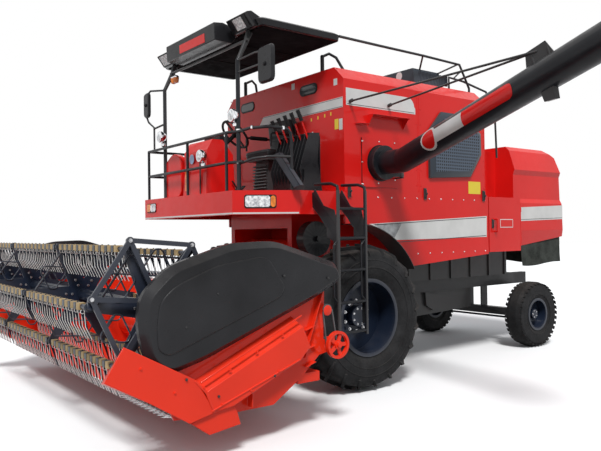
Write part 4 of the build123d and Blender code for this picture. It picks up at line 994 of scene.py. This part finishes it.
COVER_DARK = finish("dark moulded cover", (0.012, 0.012, 0.014), 0.30, coat=0.10, drift=0.3, drift_scale=1.6,
                    grain=0.03, grain_scale=90, dust=0.03)
bm = bmesh.new()
low_roof = [at(x, y, 3745) for x, y in rounded(oblong(-1105, -1070, 1105, -50), 70)]
mid_roof = [at(x, y, 3806) for x, y in rounded(oblong(-1115, -1114, 1115, -40), 80)]
top_roof = [at(x, y, 3828) for x, y in rounded(oblong(-1085, -1085, 1085, -70), 80)]
add_loft(bm, low_roof, mid_roof)
add_loft(bm, mid_roof, top_roof)
pod_line = [(-1105, 3745), (-1205, 3872), (-1150, 3888), (-1000, 3824), (-1040, 3745)]
side_prism(bm, pod_line, 620, 1030)
side_prism(bm, pod_line, -1030, -620)
visor_line = [(-1300, 3685), (-1310, 3866), (-1200, 3880), (-960, 3824), (-1040, 3747), (-1090, 3680)]
side_prism(bm, visor_line, -560, 560)
roof = soften(mesh_piece("roof", "machine", COVER_DARK, bm), 0.006)
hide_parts("canopy")
bm = bmesh.new()
flat_prism(bm, oblong(-1060, -1040, 1060, -70), 3742, 3748)
for x in (-360, 360):
    side_prism(bm, [(-1000, 3737), (-1000, 3746), (-90, 3746), (-90, 3737)], x - 20, x + 20)
side_prism(bm, [(-1040, 3740), (-1040, 3746), (-1010, 3746), (-1010, 3740)], -1060, 1060)
LINING = finish("matt black lining", (0.006, 0.006, 0.007), 0.9, drift=0.3, grain=0.1, grain_scale=120)
LINING.node_tree.nodes["Principled BSDF"].inputs["Specular IOR Level"].default_value = 0.02
soften(mesh_piece("roof_lining", "machine", LINING, bm), 0.002)


# ---------- mirrors and top rails ----------
# Bent steel tube, welded to the posts; moulded mirror backs on tube arms, and
# the rails that run back over the tank to the engine cover.


def shrunk_outline(outline, inset):
    """Outline moved inwards by a distance."""
    area = sum(a[0] * b[1] - b[0] * a[1] for a, b in zip(outline, outline[1:] + outline[:1]))
    turn = 1 if area > 0 else -1
    made = []
    count = len(outline)
    for k in range(count):
        p, q, r = (Vector(outline[(k + s) % count]) for s in (-1, 0, 1))
        one, two = (q - p).normalized(), (r - q).normalized()
        n1, n2 = Vector((-one.y, one.x)) * turn, Vector((-two.y, two.x)) * turn
        both = (n1 + n2).normalized()
        made.append(tuple(q + both * inset / max(0.4, both.dot(n1))))
    return made


bm = bmesh.new()
add_tube(bm, [at(-870, -1100, 3640), at(890, -1100, 3640)], 0.016, 12)
for away in (1, -1):
    add_tube(bm, [at(away * 840, -1200, 3420), at(away * 840, -1100, 3640), at(away * 840, -1066, 3750)],
             0.021, 12)
    add_tube(bm, [at(away * 800, -60, 3640), at(away * 800, 40, 3690), at(away * 830, 120, 3650),
                  at(away * 900, 200, 3460)], 0.016, 12)
for x, y, z in ((-771, -1260, 2700), (215, -1260, 2390), (808, -1214, 2700)):
    add_tube(bm, [at(x, y, z), at(x, y, z + 140)], 0.009, 8)
add_tube(bm, [at(-765, -1100, 3640), at(-765, -1100, 3570)], 0.008, 8)
add_tube(bm, [at(-800, -1100, 3590), at(-730, -1100, 3590)], 0.007, 8)
add_tube(bm, [at(840, -1200, 3300), at(1300, -1200, 3300), at(1390, -1225, 3262)], 0.010, 10)
add_tube(bm, [at(840, -1200, 3420), at(1180, -1215, 3425), at(1330, -1235, 3400)], 0.009, 10)
add_tube(bm, [at(-840, -1200, 3420), at(-1080, -1275, 3445), at(-1160, -1290, 3400), at(-1165, -1290, 3130),
              at(-1120, -1285, 3060), at(-1059, -1240, 2990), at(-1059, -1240, 2700)], 0.012, 12)
add_tube(bm, [at(-840, -1200, 3010), at(-1059, -1245, 2975)], 0.012, 10)
add_tube(bm, [at(1090, -55, 3800), at(1040, 600, 3815), at(1000, 1378, 3828), at(1000, 2068, 3814),
              at(1000, 2255, 3530), at(1000, 2255, 3466)], 0.015, 12)
add_tube(bm, [at(950, 1915, 3466), at(950, 1915, 3640), at(960, 2180, 3620), at(900, 2740, 3560),
              at(900, 2930, 3320), at(900, 2960, 2668)], 0.014, 12)
add_tube(bm, [at(860, 1470, 3700), at(1000, 1378, 3828)], 0.012, 8)
add_tube(bm, [at(870, 1800, 3690), at(1000, 2040, 3816)], 0.011, 8)
add_tube(bm, [at(954, 2000, 3634), at(1000, 2108, 3745)], 0.010, 8)
smooth(mesh_piece("frame_tubes", "machine", BLACK, bm), 50)
bm = bmesh.new()
for x, y, z, wide, high in MIRRORS:
    x0, x1, z0, z1 = x - wide / 2, x + wide / 2, z - high / 2, z + high / 2
    plate = rounded(oblong(x0, z0, x1, z1), 60)
    add_loft(bm, [at(a, y + 14, b) for a, b in plate], [at(a, y - 4, b) for a, b in plate])
    back = shrunk_outline(plate, 16)
    add_loft(bm, [at(a, y - 4, b) for a, b in plate], [at(a, y - 20, b) for a, b in back])
smooth(mesh_piece("mirror_backs", "machine", COVER_DARK, bm), 40)


# ---------- header end covers ----------
# Each end of the header carries a moulded dark cover with a bevelled rim and
# a raised middle, over a red guard and a pressed crop divider.
END_IN, END_RIM, END_FACE = 2176, 2225, 2288
COVER_LINE = rounded([(-2659, 1443), (-2873, 1245), (-2895, 1032), (-2829, 770), (-2681, 668),
                      (-2379, 743), (-1372, 1115), (-1054, 1263), (-1105, 1406), (-1748, 1607),
                      (-2150, 1596)], 90, 4)
PANEL_LINE = rounded([(-2783, 1030), (-2755, 1211), (-2636, 1311), (-2300, 1440), (-1922, 1494),
                      (-1834, 1471), (-1680, 1241), (-1732, 1163), (-2690, 815), (-2770, 860)], 70, 4)
GUARD_IN = [(-2424, 597), (-1544, 987), (-1438, 744), (-1536, 651), (-2169, 387), (-2331, 370)]
GUARD_OUT = [(-2393, 524), (-1514, 912), (-1438, 744), (-1536, 651), (-2169, 387), (-2331, 370)]
DIVIDER_IN = [(-3134, 672), (-2975, 902), (-2700, 700), (-2424, 597), (-2268, 336), (-2477, 285),
              (-2790, 494)]
DIVIDER_OUT = [(-3155, 698), (-3019, 922), (-2740, 770), (-2482, 624), (-2331, 370), (-2534, 321),
               (-2845, 519)]
SKID = [(-2508, 310), (-2362, 202), (-2095, 234), (-2123, 330), (-2169, 400), (-2331, 380)]
for hand, away in (("left", 1), ("right", -1)):
    bm = bmesh.new()
    side_prism(bm, COVER_LINE, away * END_IN, away * END_RIM)
    for line, inset, x0, x1 in ((COVER_LINE, 52, END_RIM, END_FACE),
                                (PANEL_LINE, 9, END_FACE - 1, END_FACE + 11)):
        add_loft(bm, [at(away * x0, y, z) for y, z in line],
                 [at(away * x1, y, z) for y, z in shrunk_outline(line, inset)])
    cover = soften(mesh_piece(f"end_cover_{hand}", "header", COVER_DARK, bm), 0.005)
    bm = bmesh.new()
    for inner, outer in ((GUARD_IN, GUARD_OUT), (DIVIDER_IN, DIVIDER_OUT)):
        add_loft(bm, [at(away * END_IN, y, z) for y, z in inner], [at(away * 2290, y, z) for y, z in outer])
    side_prism(bm, SKID, away * 2200, away * 2265)
    side_prism(bm, [(-2482, 624), (-2393, 524), (-2331, 370), (-2345, 366), (-2410, 520), (-2500, 618)],
               away * 2289, away * 2296)
    for y0, z0, y1, z1 in ((-2450, 605, -1530, 1010), (-2360, 385, -1545, 660)):
        side_prism(bm, [(y0, z0), (y1, z1), (y1 + 4, z1 - 12), (y0 + 4, z0 - 12)], away * 2286, away * 2297)
    for y in (-1980, -1760, -1600):
        high, low = 470 + (y + 1980) * 0.42, 330 + (y + 1980) * 0.9
        side_prism(bm, oblong(y, high, y + 8, low), away * 2178, away * 2250)
    divider = soften(mesh_piece(f"divider_{hand}", "header", ORANGE, bm), 0.004)
    if hand == "left":
        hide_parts("end_covers")
        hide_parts("crop_dividers")
    bm = bmesh.new()
    for y, z in ((-2420, 560), (-2200, 660), (-1960, 765), (-1720, 870), (-2270, 415), (-2020, 480),
                 (-1760, 590), (-2900, 760), (-2650, 560)):
        add_bolt(bm, at(away * 2290, y, z), (away, 0, 0), 0.018)
    smooth(mesh_piece(f"divider_bolts_{hand}", "header", ORANGE, bm))


# ---------- tarpaulin behind the hood ----------
# Heavy dark waxed cloth hung from the lower edge of the hood, along both sides
# and behind; it is held at its top and falls in soft folds.
HALF, FRONT, BACK, HEM = 925, 3482, 4478, 1165
along, across = BACK - FRONT, 2 * HALF
total = along + across + along
STEPS, ROWS = 160, 14
bm = bmesh.new()
columns = []
for k in range(STEPS + 1):
    d = total * k / STEPS
    if d <= along:
        x, y, nx, ny = -HALF, FRONT + d, -1, 0
    elif d <= along + across:
        x, y, nx, ny = -HALF + (d - along), BACK, 0, 1
    else:
        x, y, nx, ny = HALF, BACK - (d - along - across), 1, 0
    swing = 0.55 * math.sin(d / 148) + 0.45 * math.sin(d / 61 + 1.3)
    hood_edge = 1420 + 140 * (y - 3300) / 1200   # the hood's lower edge rises to the rear
    top = hood_edge + 45
    column = []
    for m in range(ROWS + 1):
        drop = m / ROWS
        push = swing * 9 * drop - 7 * math.sin(math.pi * drop)
        out = push * drop - 6 - 14 * (1 - drop)
        z = top - drop * (top - HEM - 22 * math.sin(d / 210))
        column.append(bm.verts.new(at(x + nx * out, y + ny * out, z)))
    columns.append(column)
for a, b in zip(columns, columns[1:]):
    for m in range(ROWS):
        bm.faces.new((a[m], a[m + 1], b[m + 1], b[m]))
TARP = finish("waxed tarpaulin", (0.030, 0.034, 0.030), 0.82, drift=0.35, drift_scale=5, grain=0.25,
              grain_scale=240, dust=0.2)
tarp = mesh_piece("tarpaulin", "machine", TARP, bm)
smooth(tarp, 80)
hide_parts("rear_curtain")


# ---------- screen over the radiator ----------
# Pressed grey frame with a bevelled rim, screwed to the engine bay's wall, and
# the perforated plate let into it.
screen_line = [(1221, 2298), (1970, 2340), (2190, 2630), (2183, 2898), (1814, 3105), (1441, 3105),
               (1221, 2869)]
bm = bmesh.new()
add_loft(bm, [at(1230, y, z) for y, z in screen_line],
         [at(1262, y, z) for y, z in shrunk_outline(screen_line, 58)])
soften(mesh_piece("screen_frame", "machine", GREY, bm), 0.003)
side_patch("screen_mesh", "machine", MESH, shrunk_outline(screen_line, 70), 1262, 0.002)


# ---------- tank side shelf and flange plate ----------
# Folded red shelf with two end brackets, and the red plate that carries the
# unloader's collar.


def cross_prism(bm, outline, y0, y1):
    """Outline of (left, up) millimetres, spread from y0 to y1."""
    add_prism(bm, [at(x, y0, z) for x, z in outline], (0, 1, 0), (y1 - y0) * MM)


bm = bmesh.new()
side_prism(bm, oblong(250, 2950, 840, 2958), 1200, 1300)
for y in (250, 800):
    cross_prism(bm, [(1200, 2950), (1290, 2950), (1200, 2830)], y, y + 5)
side_prism(bm, [(60, 2840), (230, 2850), (230, 2856), (60, 2846)], 1200, 1262)
soften(mesh_piece("tank_shelf", "machine", RED, bm), 0.002)
PLATE_SIDES = 40
ring = [(COLLAR_Y + 204 * math.cos(2 * math.pi * k / PLATE_SIDES),
         COLLAR_Z + 204 * math.sin(2 * math.pi * k / PLATE_SIDES)) for k in range(PLATE_SIDES)]
bm = bmesh.new()
for a, b in zip(ring, ring[1:] + ring[:1]):
    spots = []
    for y, z in (a, b):
        dy, dz = y - COLLAR_Y, z - COLLAR_Z
        reach = 270 / max(abs(dy), abs(dz))
        spots.append((COLLAR_Y + dy * reach * 1.015, COLLAR_Z + dz * reach))
    add_prism(bm, [at(1212.5, *a), at(1212.5, *b), at(1212.5, *spots[1]), at(1212.5, *spots[0])], (1, 0, 0),
              0.004)
mesh_piece("flange_plate_face", "machine", RED, bm)


# ---------- marks on the unloader ----------
# Printed film bands, left blank: a round badge, a white band and a red one.
# Two steel struts on welded feet tie the tube to the tank when it is stowed.
run = Vector((1, -0.235, 0.225)).normalized()


def tube_spot(x):
    """Middle of the long unloading tube at a distance from the machine's middle line."""
    return at(x, COLLAR_Y - 0.235 * (x - 1560), COLLAR_Z + 0.225 * (x - 1560))


ahead = Vector((0.55, -0.83, 0.05))
side_way = (ahead - run * ahead.dot(run)).normalized()
up_way = run.cross(side_way).normalized()
if up_way.z < 0:
    up_way = -up_way
TUBE_R = 0.130


def on_tube(spot, angle, lift):
    """Place at an angle on the tube's skin, a little above it."""
    return spot + (side_way * math.cos(angle) + up_way * math.sin(angle)) * (TUBE_R + lift)


def tube_film(name, mat, x0, x1, a0, a1, lift, end=0.0):
    """Film wrapped on the tube, from angle a0 to a1 about the side facing forward."""
    bm = bmesh.new()
    rows = []
    n, m = 24, 10
    for i in range(n + 1):
        row = []
        for j in range(m + 1):
            angle = math.radians(a0 + (a1 - a0) * j / m)
            v = abs(2 * j / m - 1)
            stop = x1 - end * (1 - math.sqrt(max(0.0, 1 - v * v)))
            x = x0 + (stop - x0) * i / n
            row.append(bm.verts.new(on_tube(tube_spot(x), angle, lift)))
        rows.append(row)
    for a, b in zip(rows, rows[1:]):
        for j in range(m):
            bm.faces.new((a[j], a[j + 1], b[j + 1], b[j]))
    smooth(mesh_piece(name, "unloader", mat, bm), 60)


tube_film("unloader_white_band", FILM, 2190, 2700, -25, 35, 0.0016)
tube_film("unloader_red_band", RED, 2690, 3330, -25, 35, 0.0022, 60)
for part, mat, lift, radius in (("badge", FILM, 0.004, 0.122), ("badge_core", RED, 0.0055, 0.098)):
    bm = bmesh.new()
    centre = tube_spot(2190)
    hoops = []
    for q in range(1, 6):
        hoop = []
        for k in range(48):
            a = 2 * math.pi * k / 48
            reach = radius * q / 5 * (1 + 0.03 * (k % 2) * (q == 5))
            turn = math.radians(5) + reach * math.sin(a) / 0.133
            hoop.append(bm.verts.new(on_tube(centre + run * (reach * math.cos(a)), turn, lift)))
        hoops.append(hoop)
    for a, b in zip(hoops, hoops[1:]):
        for k in range(48):
            bm.faces.new((a[k], a[(k + 1) % 48], b[(k + 1) % 48], b[k]))
    bm.faces.new(hoops[0])
    mesh_piece(f"unloader_{part}", "unloader", mat, bm)
bm = bmesh.new()
for x in (3500, 3660):
    add_tube(bm, [tube_spot(x) + up_way * 0.125, tube_spot(x) + up_way * 0.20], 0.012, 8)
foot = tube_spot(3560)
for deep, spots in ((0.006, ((0.11, -0.16), (0.11, 0.16), (0.25, 0.10), (0.25, -0.12))),
                    (0.05, ((-0.11, -0.05), (-0.11, 0.09), (-0.22, 0.07), (-0.20, -0.04)))):
    add_prism(bm, [foot + up_way * u + run * r for u, r in spots], side_way, deep)
for x0, y0, z0 in ((1225, -20, 3075), (1225, 560, 3090)):
    add_tube(bm, [foot + up_way * 0.21, at(x0, y0, z0)], 0.011, 8)
    add_turned(bm, at(x0, y0, z0), (1, 0, 0.2), [(-0.012, 0.02), (0.03, 0.02)], 10)
smooth(mesh_piece("unloader_strut_feet", "unloader", BLACK, bm), 40)


# ---------- hood bands and tool box marks ----------
# Blank printed films on the hood's side and on the tool box door, and the
# door's bent black handle on its plate.
side_patch("hood_band", "machine", FILM, [(3364, 1790), (4490, 1822), (4490, 2030), (3364, 1985)], 950)
side_patch("hood_band_line", "machine", FILM_LINE, [(3380, 1808), (4480, 1838), (4480, 1845), (3380, 1815)],
           950.9)
side_patch("box_mark", "tool_box_door", FILM, oblong(2600, 1700, 2880, 1812), 1199)
side_patch("box_mark_core", "tool_box_door", RED, oblong(2610, 1710, 2870, 1802), 1199.9)
bm = bmesh.new()
add_tube(bm, [at(1199, 2440, 1700), at(1218, 2440, 1704), at(1218, 2440, 1796), at(1199, 2440, 1800)], 0.007,
         8)
add_box(bm, at(1197, 2420, 1690), at(1201, 2460, 1810))
smooth(mesh_piece("box_handle", "tool_box_door", BLACK, bm), 50)


# ---------- lever guides and console cover ----------
# Bent black plates, one each side of a lever's slot, lean back above a red
# base; a rounded red cover stands beside the steering column.
bm = bmesh.new()
for step in range(5):
    x = 530 + step * 118
    for wall_x in (x, x + 60):
        side_prism(bm, [(-540, DECK_Z), (-600, 2330), (-470, 2720), (-330, 2730), (-360, 2420),
                        (-300, DECK_Z)], wall_x, wall_x + 6)
    side_prism(bm, [(-330, DECK_Z), (-330, 2700), (-322, 2700), (-322, DECK_Z)], x, x + 66)
    side_prism(bm, [(-470, 2712), (-470, 2720), (-330, 2730), (-330, 2722)], x, x + 66)
side_prism(bm, [(-560, DECK_Z), (-560, 2330), (-552, 2330), (-552, DECK_Z)], 520, 1095)
guides = soften(mesh_piece("lever_guides", "machine", COVER_DARK, bm), 0.003)
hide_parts("lever_stand")
bm = bmesh.new()
outline = rounded([(-900, 2105), (-440, 2105), (-440, 2560), (-640, 2640), (-900, 2500)], 110)
add_loft(bm, [at(x, -1195, z) for x, z in outline], [at(x, -1120, z) for x, z in outline])
soften(mesh_piece("console_side_cover", "machine", RED, bm), 0.01, 3)


# ---------- ladder details ----------
# Bent side brackets, folded side plates, a second bar to each step and
# grab rails, all welded to the ladder's two tubes.
bm = bmesh.new()
for y in (-540, -180):
    for line in ([(1200, 2060), (1244, 2112), (1380, 1937), (1546, 1890), (1590, 1723), (1408, 1720),
                  (1329, 1815), (1200, 1930)],
                 [(1425, 1725), (1586, 1725), (1586, 760), (1540, 730), (1525, 1580), (1425, 1620)]):
        cross_prism(bm, line, y - 4, y + 4)
    add_tube(bm, [at(1600, y, 2070), at(1590, y, 2120), at(1500, y, 2150), at(1240, y, 2160)], 0.016, 12)
    add_tube(bm, [at(1600, y - 4, 1598), at(1600, y - 62, 1540), at(1600, y - 62, 1030),
                  at(1600, y - 4, 975)], 0.009, 8)
for z in (677, 973, 1291, 1609):
    for back in (24, 48):
        add_tube(bm, [at(1600 - back, -540, z - back * 0.3), at(1600 - back, -180, z - back * 0.3)], 0.009, 8)
    for y in (-538, -186):
        cross_prism(bm, oblong(1540, z - 28, 1604, z + 16), y, y + 5)
soften(mesh_piece("ladder_plates", "machine", BLACK, bm), 0.002)


# ---------- header chain and end ribs ----------
# A roller chain runs from the cross shaft to an idler, and folded ribs are
# welded to the header's left end.
def loop(bm, first, second, x, wide, radius_one, radius_two, thick):
    """Belt or chain round two wheels whose middles are (rearward, up)."""
    y0, z0 = first
    y1, z1 = second
    heading = math.atan2(z1 - z0, y1 - y0)
    outer = []
    for k in range(13):
        a = heading + math.pi / 2 + math.pi * k / 12
        outer.append((y0 + radius_one * math.cos(a), z0 + radius_one * math.sin(a)))
    for k in range(13):
        a = heading - math.pi / 2 + math.pi * k / 12
        outer.append((y1 + radius_two * math.cos(a), z1 + radius_two * math.sin(a)))
    for k in range(len(outer)):
        a, b = Vector(outer[k]), Vector(outer[(k + 1) % len(outer)])
        middle = Vector(((y0 + y1) / 2, (z0 + z1) / 2))
        out = ((a + b) / 2 - middle).normalized() * thick
        quad = [a, b, b + out, a + out]
        add_prism(bm, [at(x, *q) for q in quad], (1, 0, 0), wide * MM)


drive_low, drive_high = box_of("header_drive")
hub_y, hub_z = (drive_low.y + drive_high.y) / 2, (drive_low.z + drive_high.z) / 2
bm = bmesh.new()
loop(bm, (hub_y, hub_z), (-1190, 1010), 2200, 10, 52, 44, 10)
mesh_piece("header_chain", "header", IRON, bm)
idler_r = 0.044
bm = bmesh.new()
add_turned(bm, at(2185, -1190, 1010), (1, 0, 0),
           [(0, idler_r * 0.9), (0.012, idler_r), (0.026, idler_r), (0.034, idler_r * 0.4)], 24)
for z in (560, 700, 860):
    side_prism(bm, [(-1420, z), (-1320, z + 30), (-1320, z + 36), (-1420, z + 6)], 2172, 2210)
side_prism(bm, [(-1440, 640), (-1432, 640), (-1232, 1180), (-1240, 1184)], 2172, 2215)
soften(mesh_piece("header_end_ribs", "header", ORANGE, bm), 0.002)


# ---------- floor, light and camera ----------
# White ground under a plain bright sky, with one soft sun; the camera stands
# off the machine's left front corner, at about eye height.


def looked_at(tree):
    """One where the camera sees the backdrop, itself or in a shiny surface; zero where it only lights."""
    path = tree.nodes.new("ShaderNodeLightPath")
    first, second = tree.nodes.new("ShaderNodeMath"), tree.nodes.new("ShaderNodeMath")
    for node, one, two in ((first, path.outputs["Is Camera Ray"], path.outputs["Is Glossy Ray"]),
                           (second, first.outputs[0], path.outputs["Is Transmission Ray"])):
        node.operation = "MAXIMUM"
        tree.links.new(one, node.inputs[0])
        tree.links.new(two, node.inputs[1])
    return second.outputs[0]


def pale_ground(name):
    """White ground that keeps the machine's shadow, and bounces light like plain concrete."""
    mat = bpy.data.materials.new(name)
    mat.use_nodes = True
    tree = mat.node_tree
    shader = tree.nodes["Principled BSDF"]
    shader.inputs["Base Color"].default_value = (0.95, 0.95, 0.95, 1)
    shader.inputs["Roughness"].default_value = 0.9
    shader.inputs["Specular IOR Level"].default_value = 0.0
    bounce = tree.nodes.new("ShaderNodeBsdfDiffuse")
    bounce.inputs["Color"].default_value = (0.30, 0.29, 0.27, 1)
    both = tree.nodes.new("ShaderNodeMixShader")
    tree.links.new(looked_at(tree), both.inputs["Fac"])
    tree.links.new(bounce.outputs["BSDF"], both.inputs[1])
    tree.links.new(shader.outputs["BSDF"], both.inputs[2])
    tree.links.new(both.outputs["Shader"], tree.nodes["Material Output"].inputs["Surface"])
    return mat


floor_mesh = bpy.data.meshes.new("floor")
FLOOR_HALF = 60
floor_mesh.from_pydata([(-FLOOR_HALF, -FLOOR_HALF, 0), (FLOOR_HALF, -FLOOR_HALF, 0),
                        (FLOOR_HALF, FLOOR_HALF, 0),
                        (-FLOOR_HALF, FLOOR_HALF, 0)], [], [(0, 1, 2, 3)])
floor = bpy.data.objects.new("floor", floor_mesh)
bpy.context.collection.objects.link(floor)
floor_mesh.materials.append(pale_ground("pale floor"))

world = bpy.data.worlds.new("studio")
bpy.context.scene.world = world
world.use_nodes = True
sky = world.node_tree.nodes["Background"]
sky.inputs["Color"].default_value = (0.93, 0.96, 1.0, 1)
sky.inputs["Strength"].default_value = 0.55
plain = world.node_tree.nodes.new("ShaderNodeBackground")
plain.inputs["Color"].default_value = (1, 1, 1, 1)
plain.inputs["Strength"].default_value = 1.0
choose = world.node_tree.nodes.new("ShaderNodeMixShader")
world.node_tree.links.new(looked_at(world.node_tree), choose.inputs["Fac"])
world.node_tree.links.new(sky.outputs["Background"], choose.inputs[1])
world.node_tree.links.new(plain.outputs["Background"], choose.inputs[2])
world.node_tree.links.new(choose.outputs["Shader"], world.node_tree.nodes["World Output"].inputs["Surface"])

sun = bpy.data.objects.new("sun", bpy.data.lights.new("sun", "SUN"))
sun.data.energy = 2.9
sun.data.angle = math.radians(12)
sun.rotation_euler = (math.radians(38), math.radians(8), math.radians(43))
bpy.context.collection.objects.link(sun)

heading, pitch, roll = math.radians(52.812), math.radians(0.609), math.radians(-0.750)
look = Vector((-math.sin(heading) * math.cos(pitch), math.cos(heading) * math.cos(pitch), math.sin(pitch)))
level = Vector((math.cos(heading), math.sin(heading), 0))
upward = level.cross(look)
right = math.cos(roll) * level + math.sin(roll) * upward
top = -math.sin(roll) * level + math.cos(roll) * upward
camera = bpy.data.objects.new("camera", bpy.data.cameras.new("camera"))
bpy.context.collection.objects.link(camera)
turn = Matrix(((right.x, top.x, -look.x, 0), (right.y, top.y, -look.y, 0), (right.z, top.z, -look.z, 0),
               (0, 0, 0, 1)))
camera.matrix_world = Matrix.Translation(axle + Vector((6.497, -4.719, 1.670))) @ turn
camera.data.sensor_width = 36
camera.data.lens = 39.33
bpy.context.scene.camera = camera
bpy.context.scene.view_settings.view_transform = "Standard"
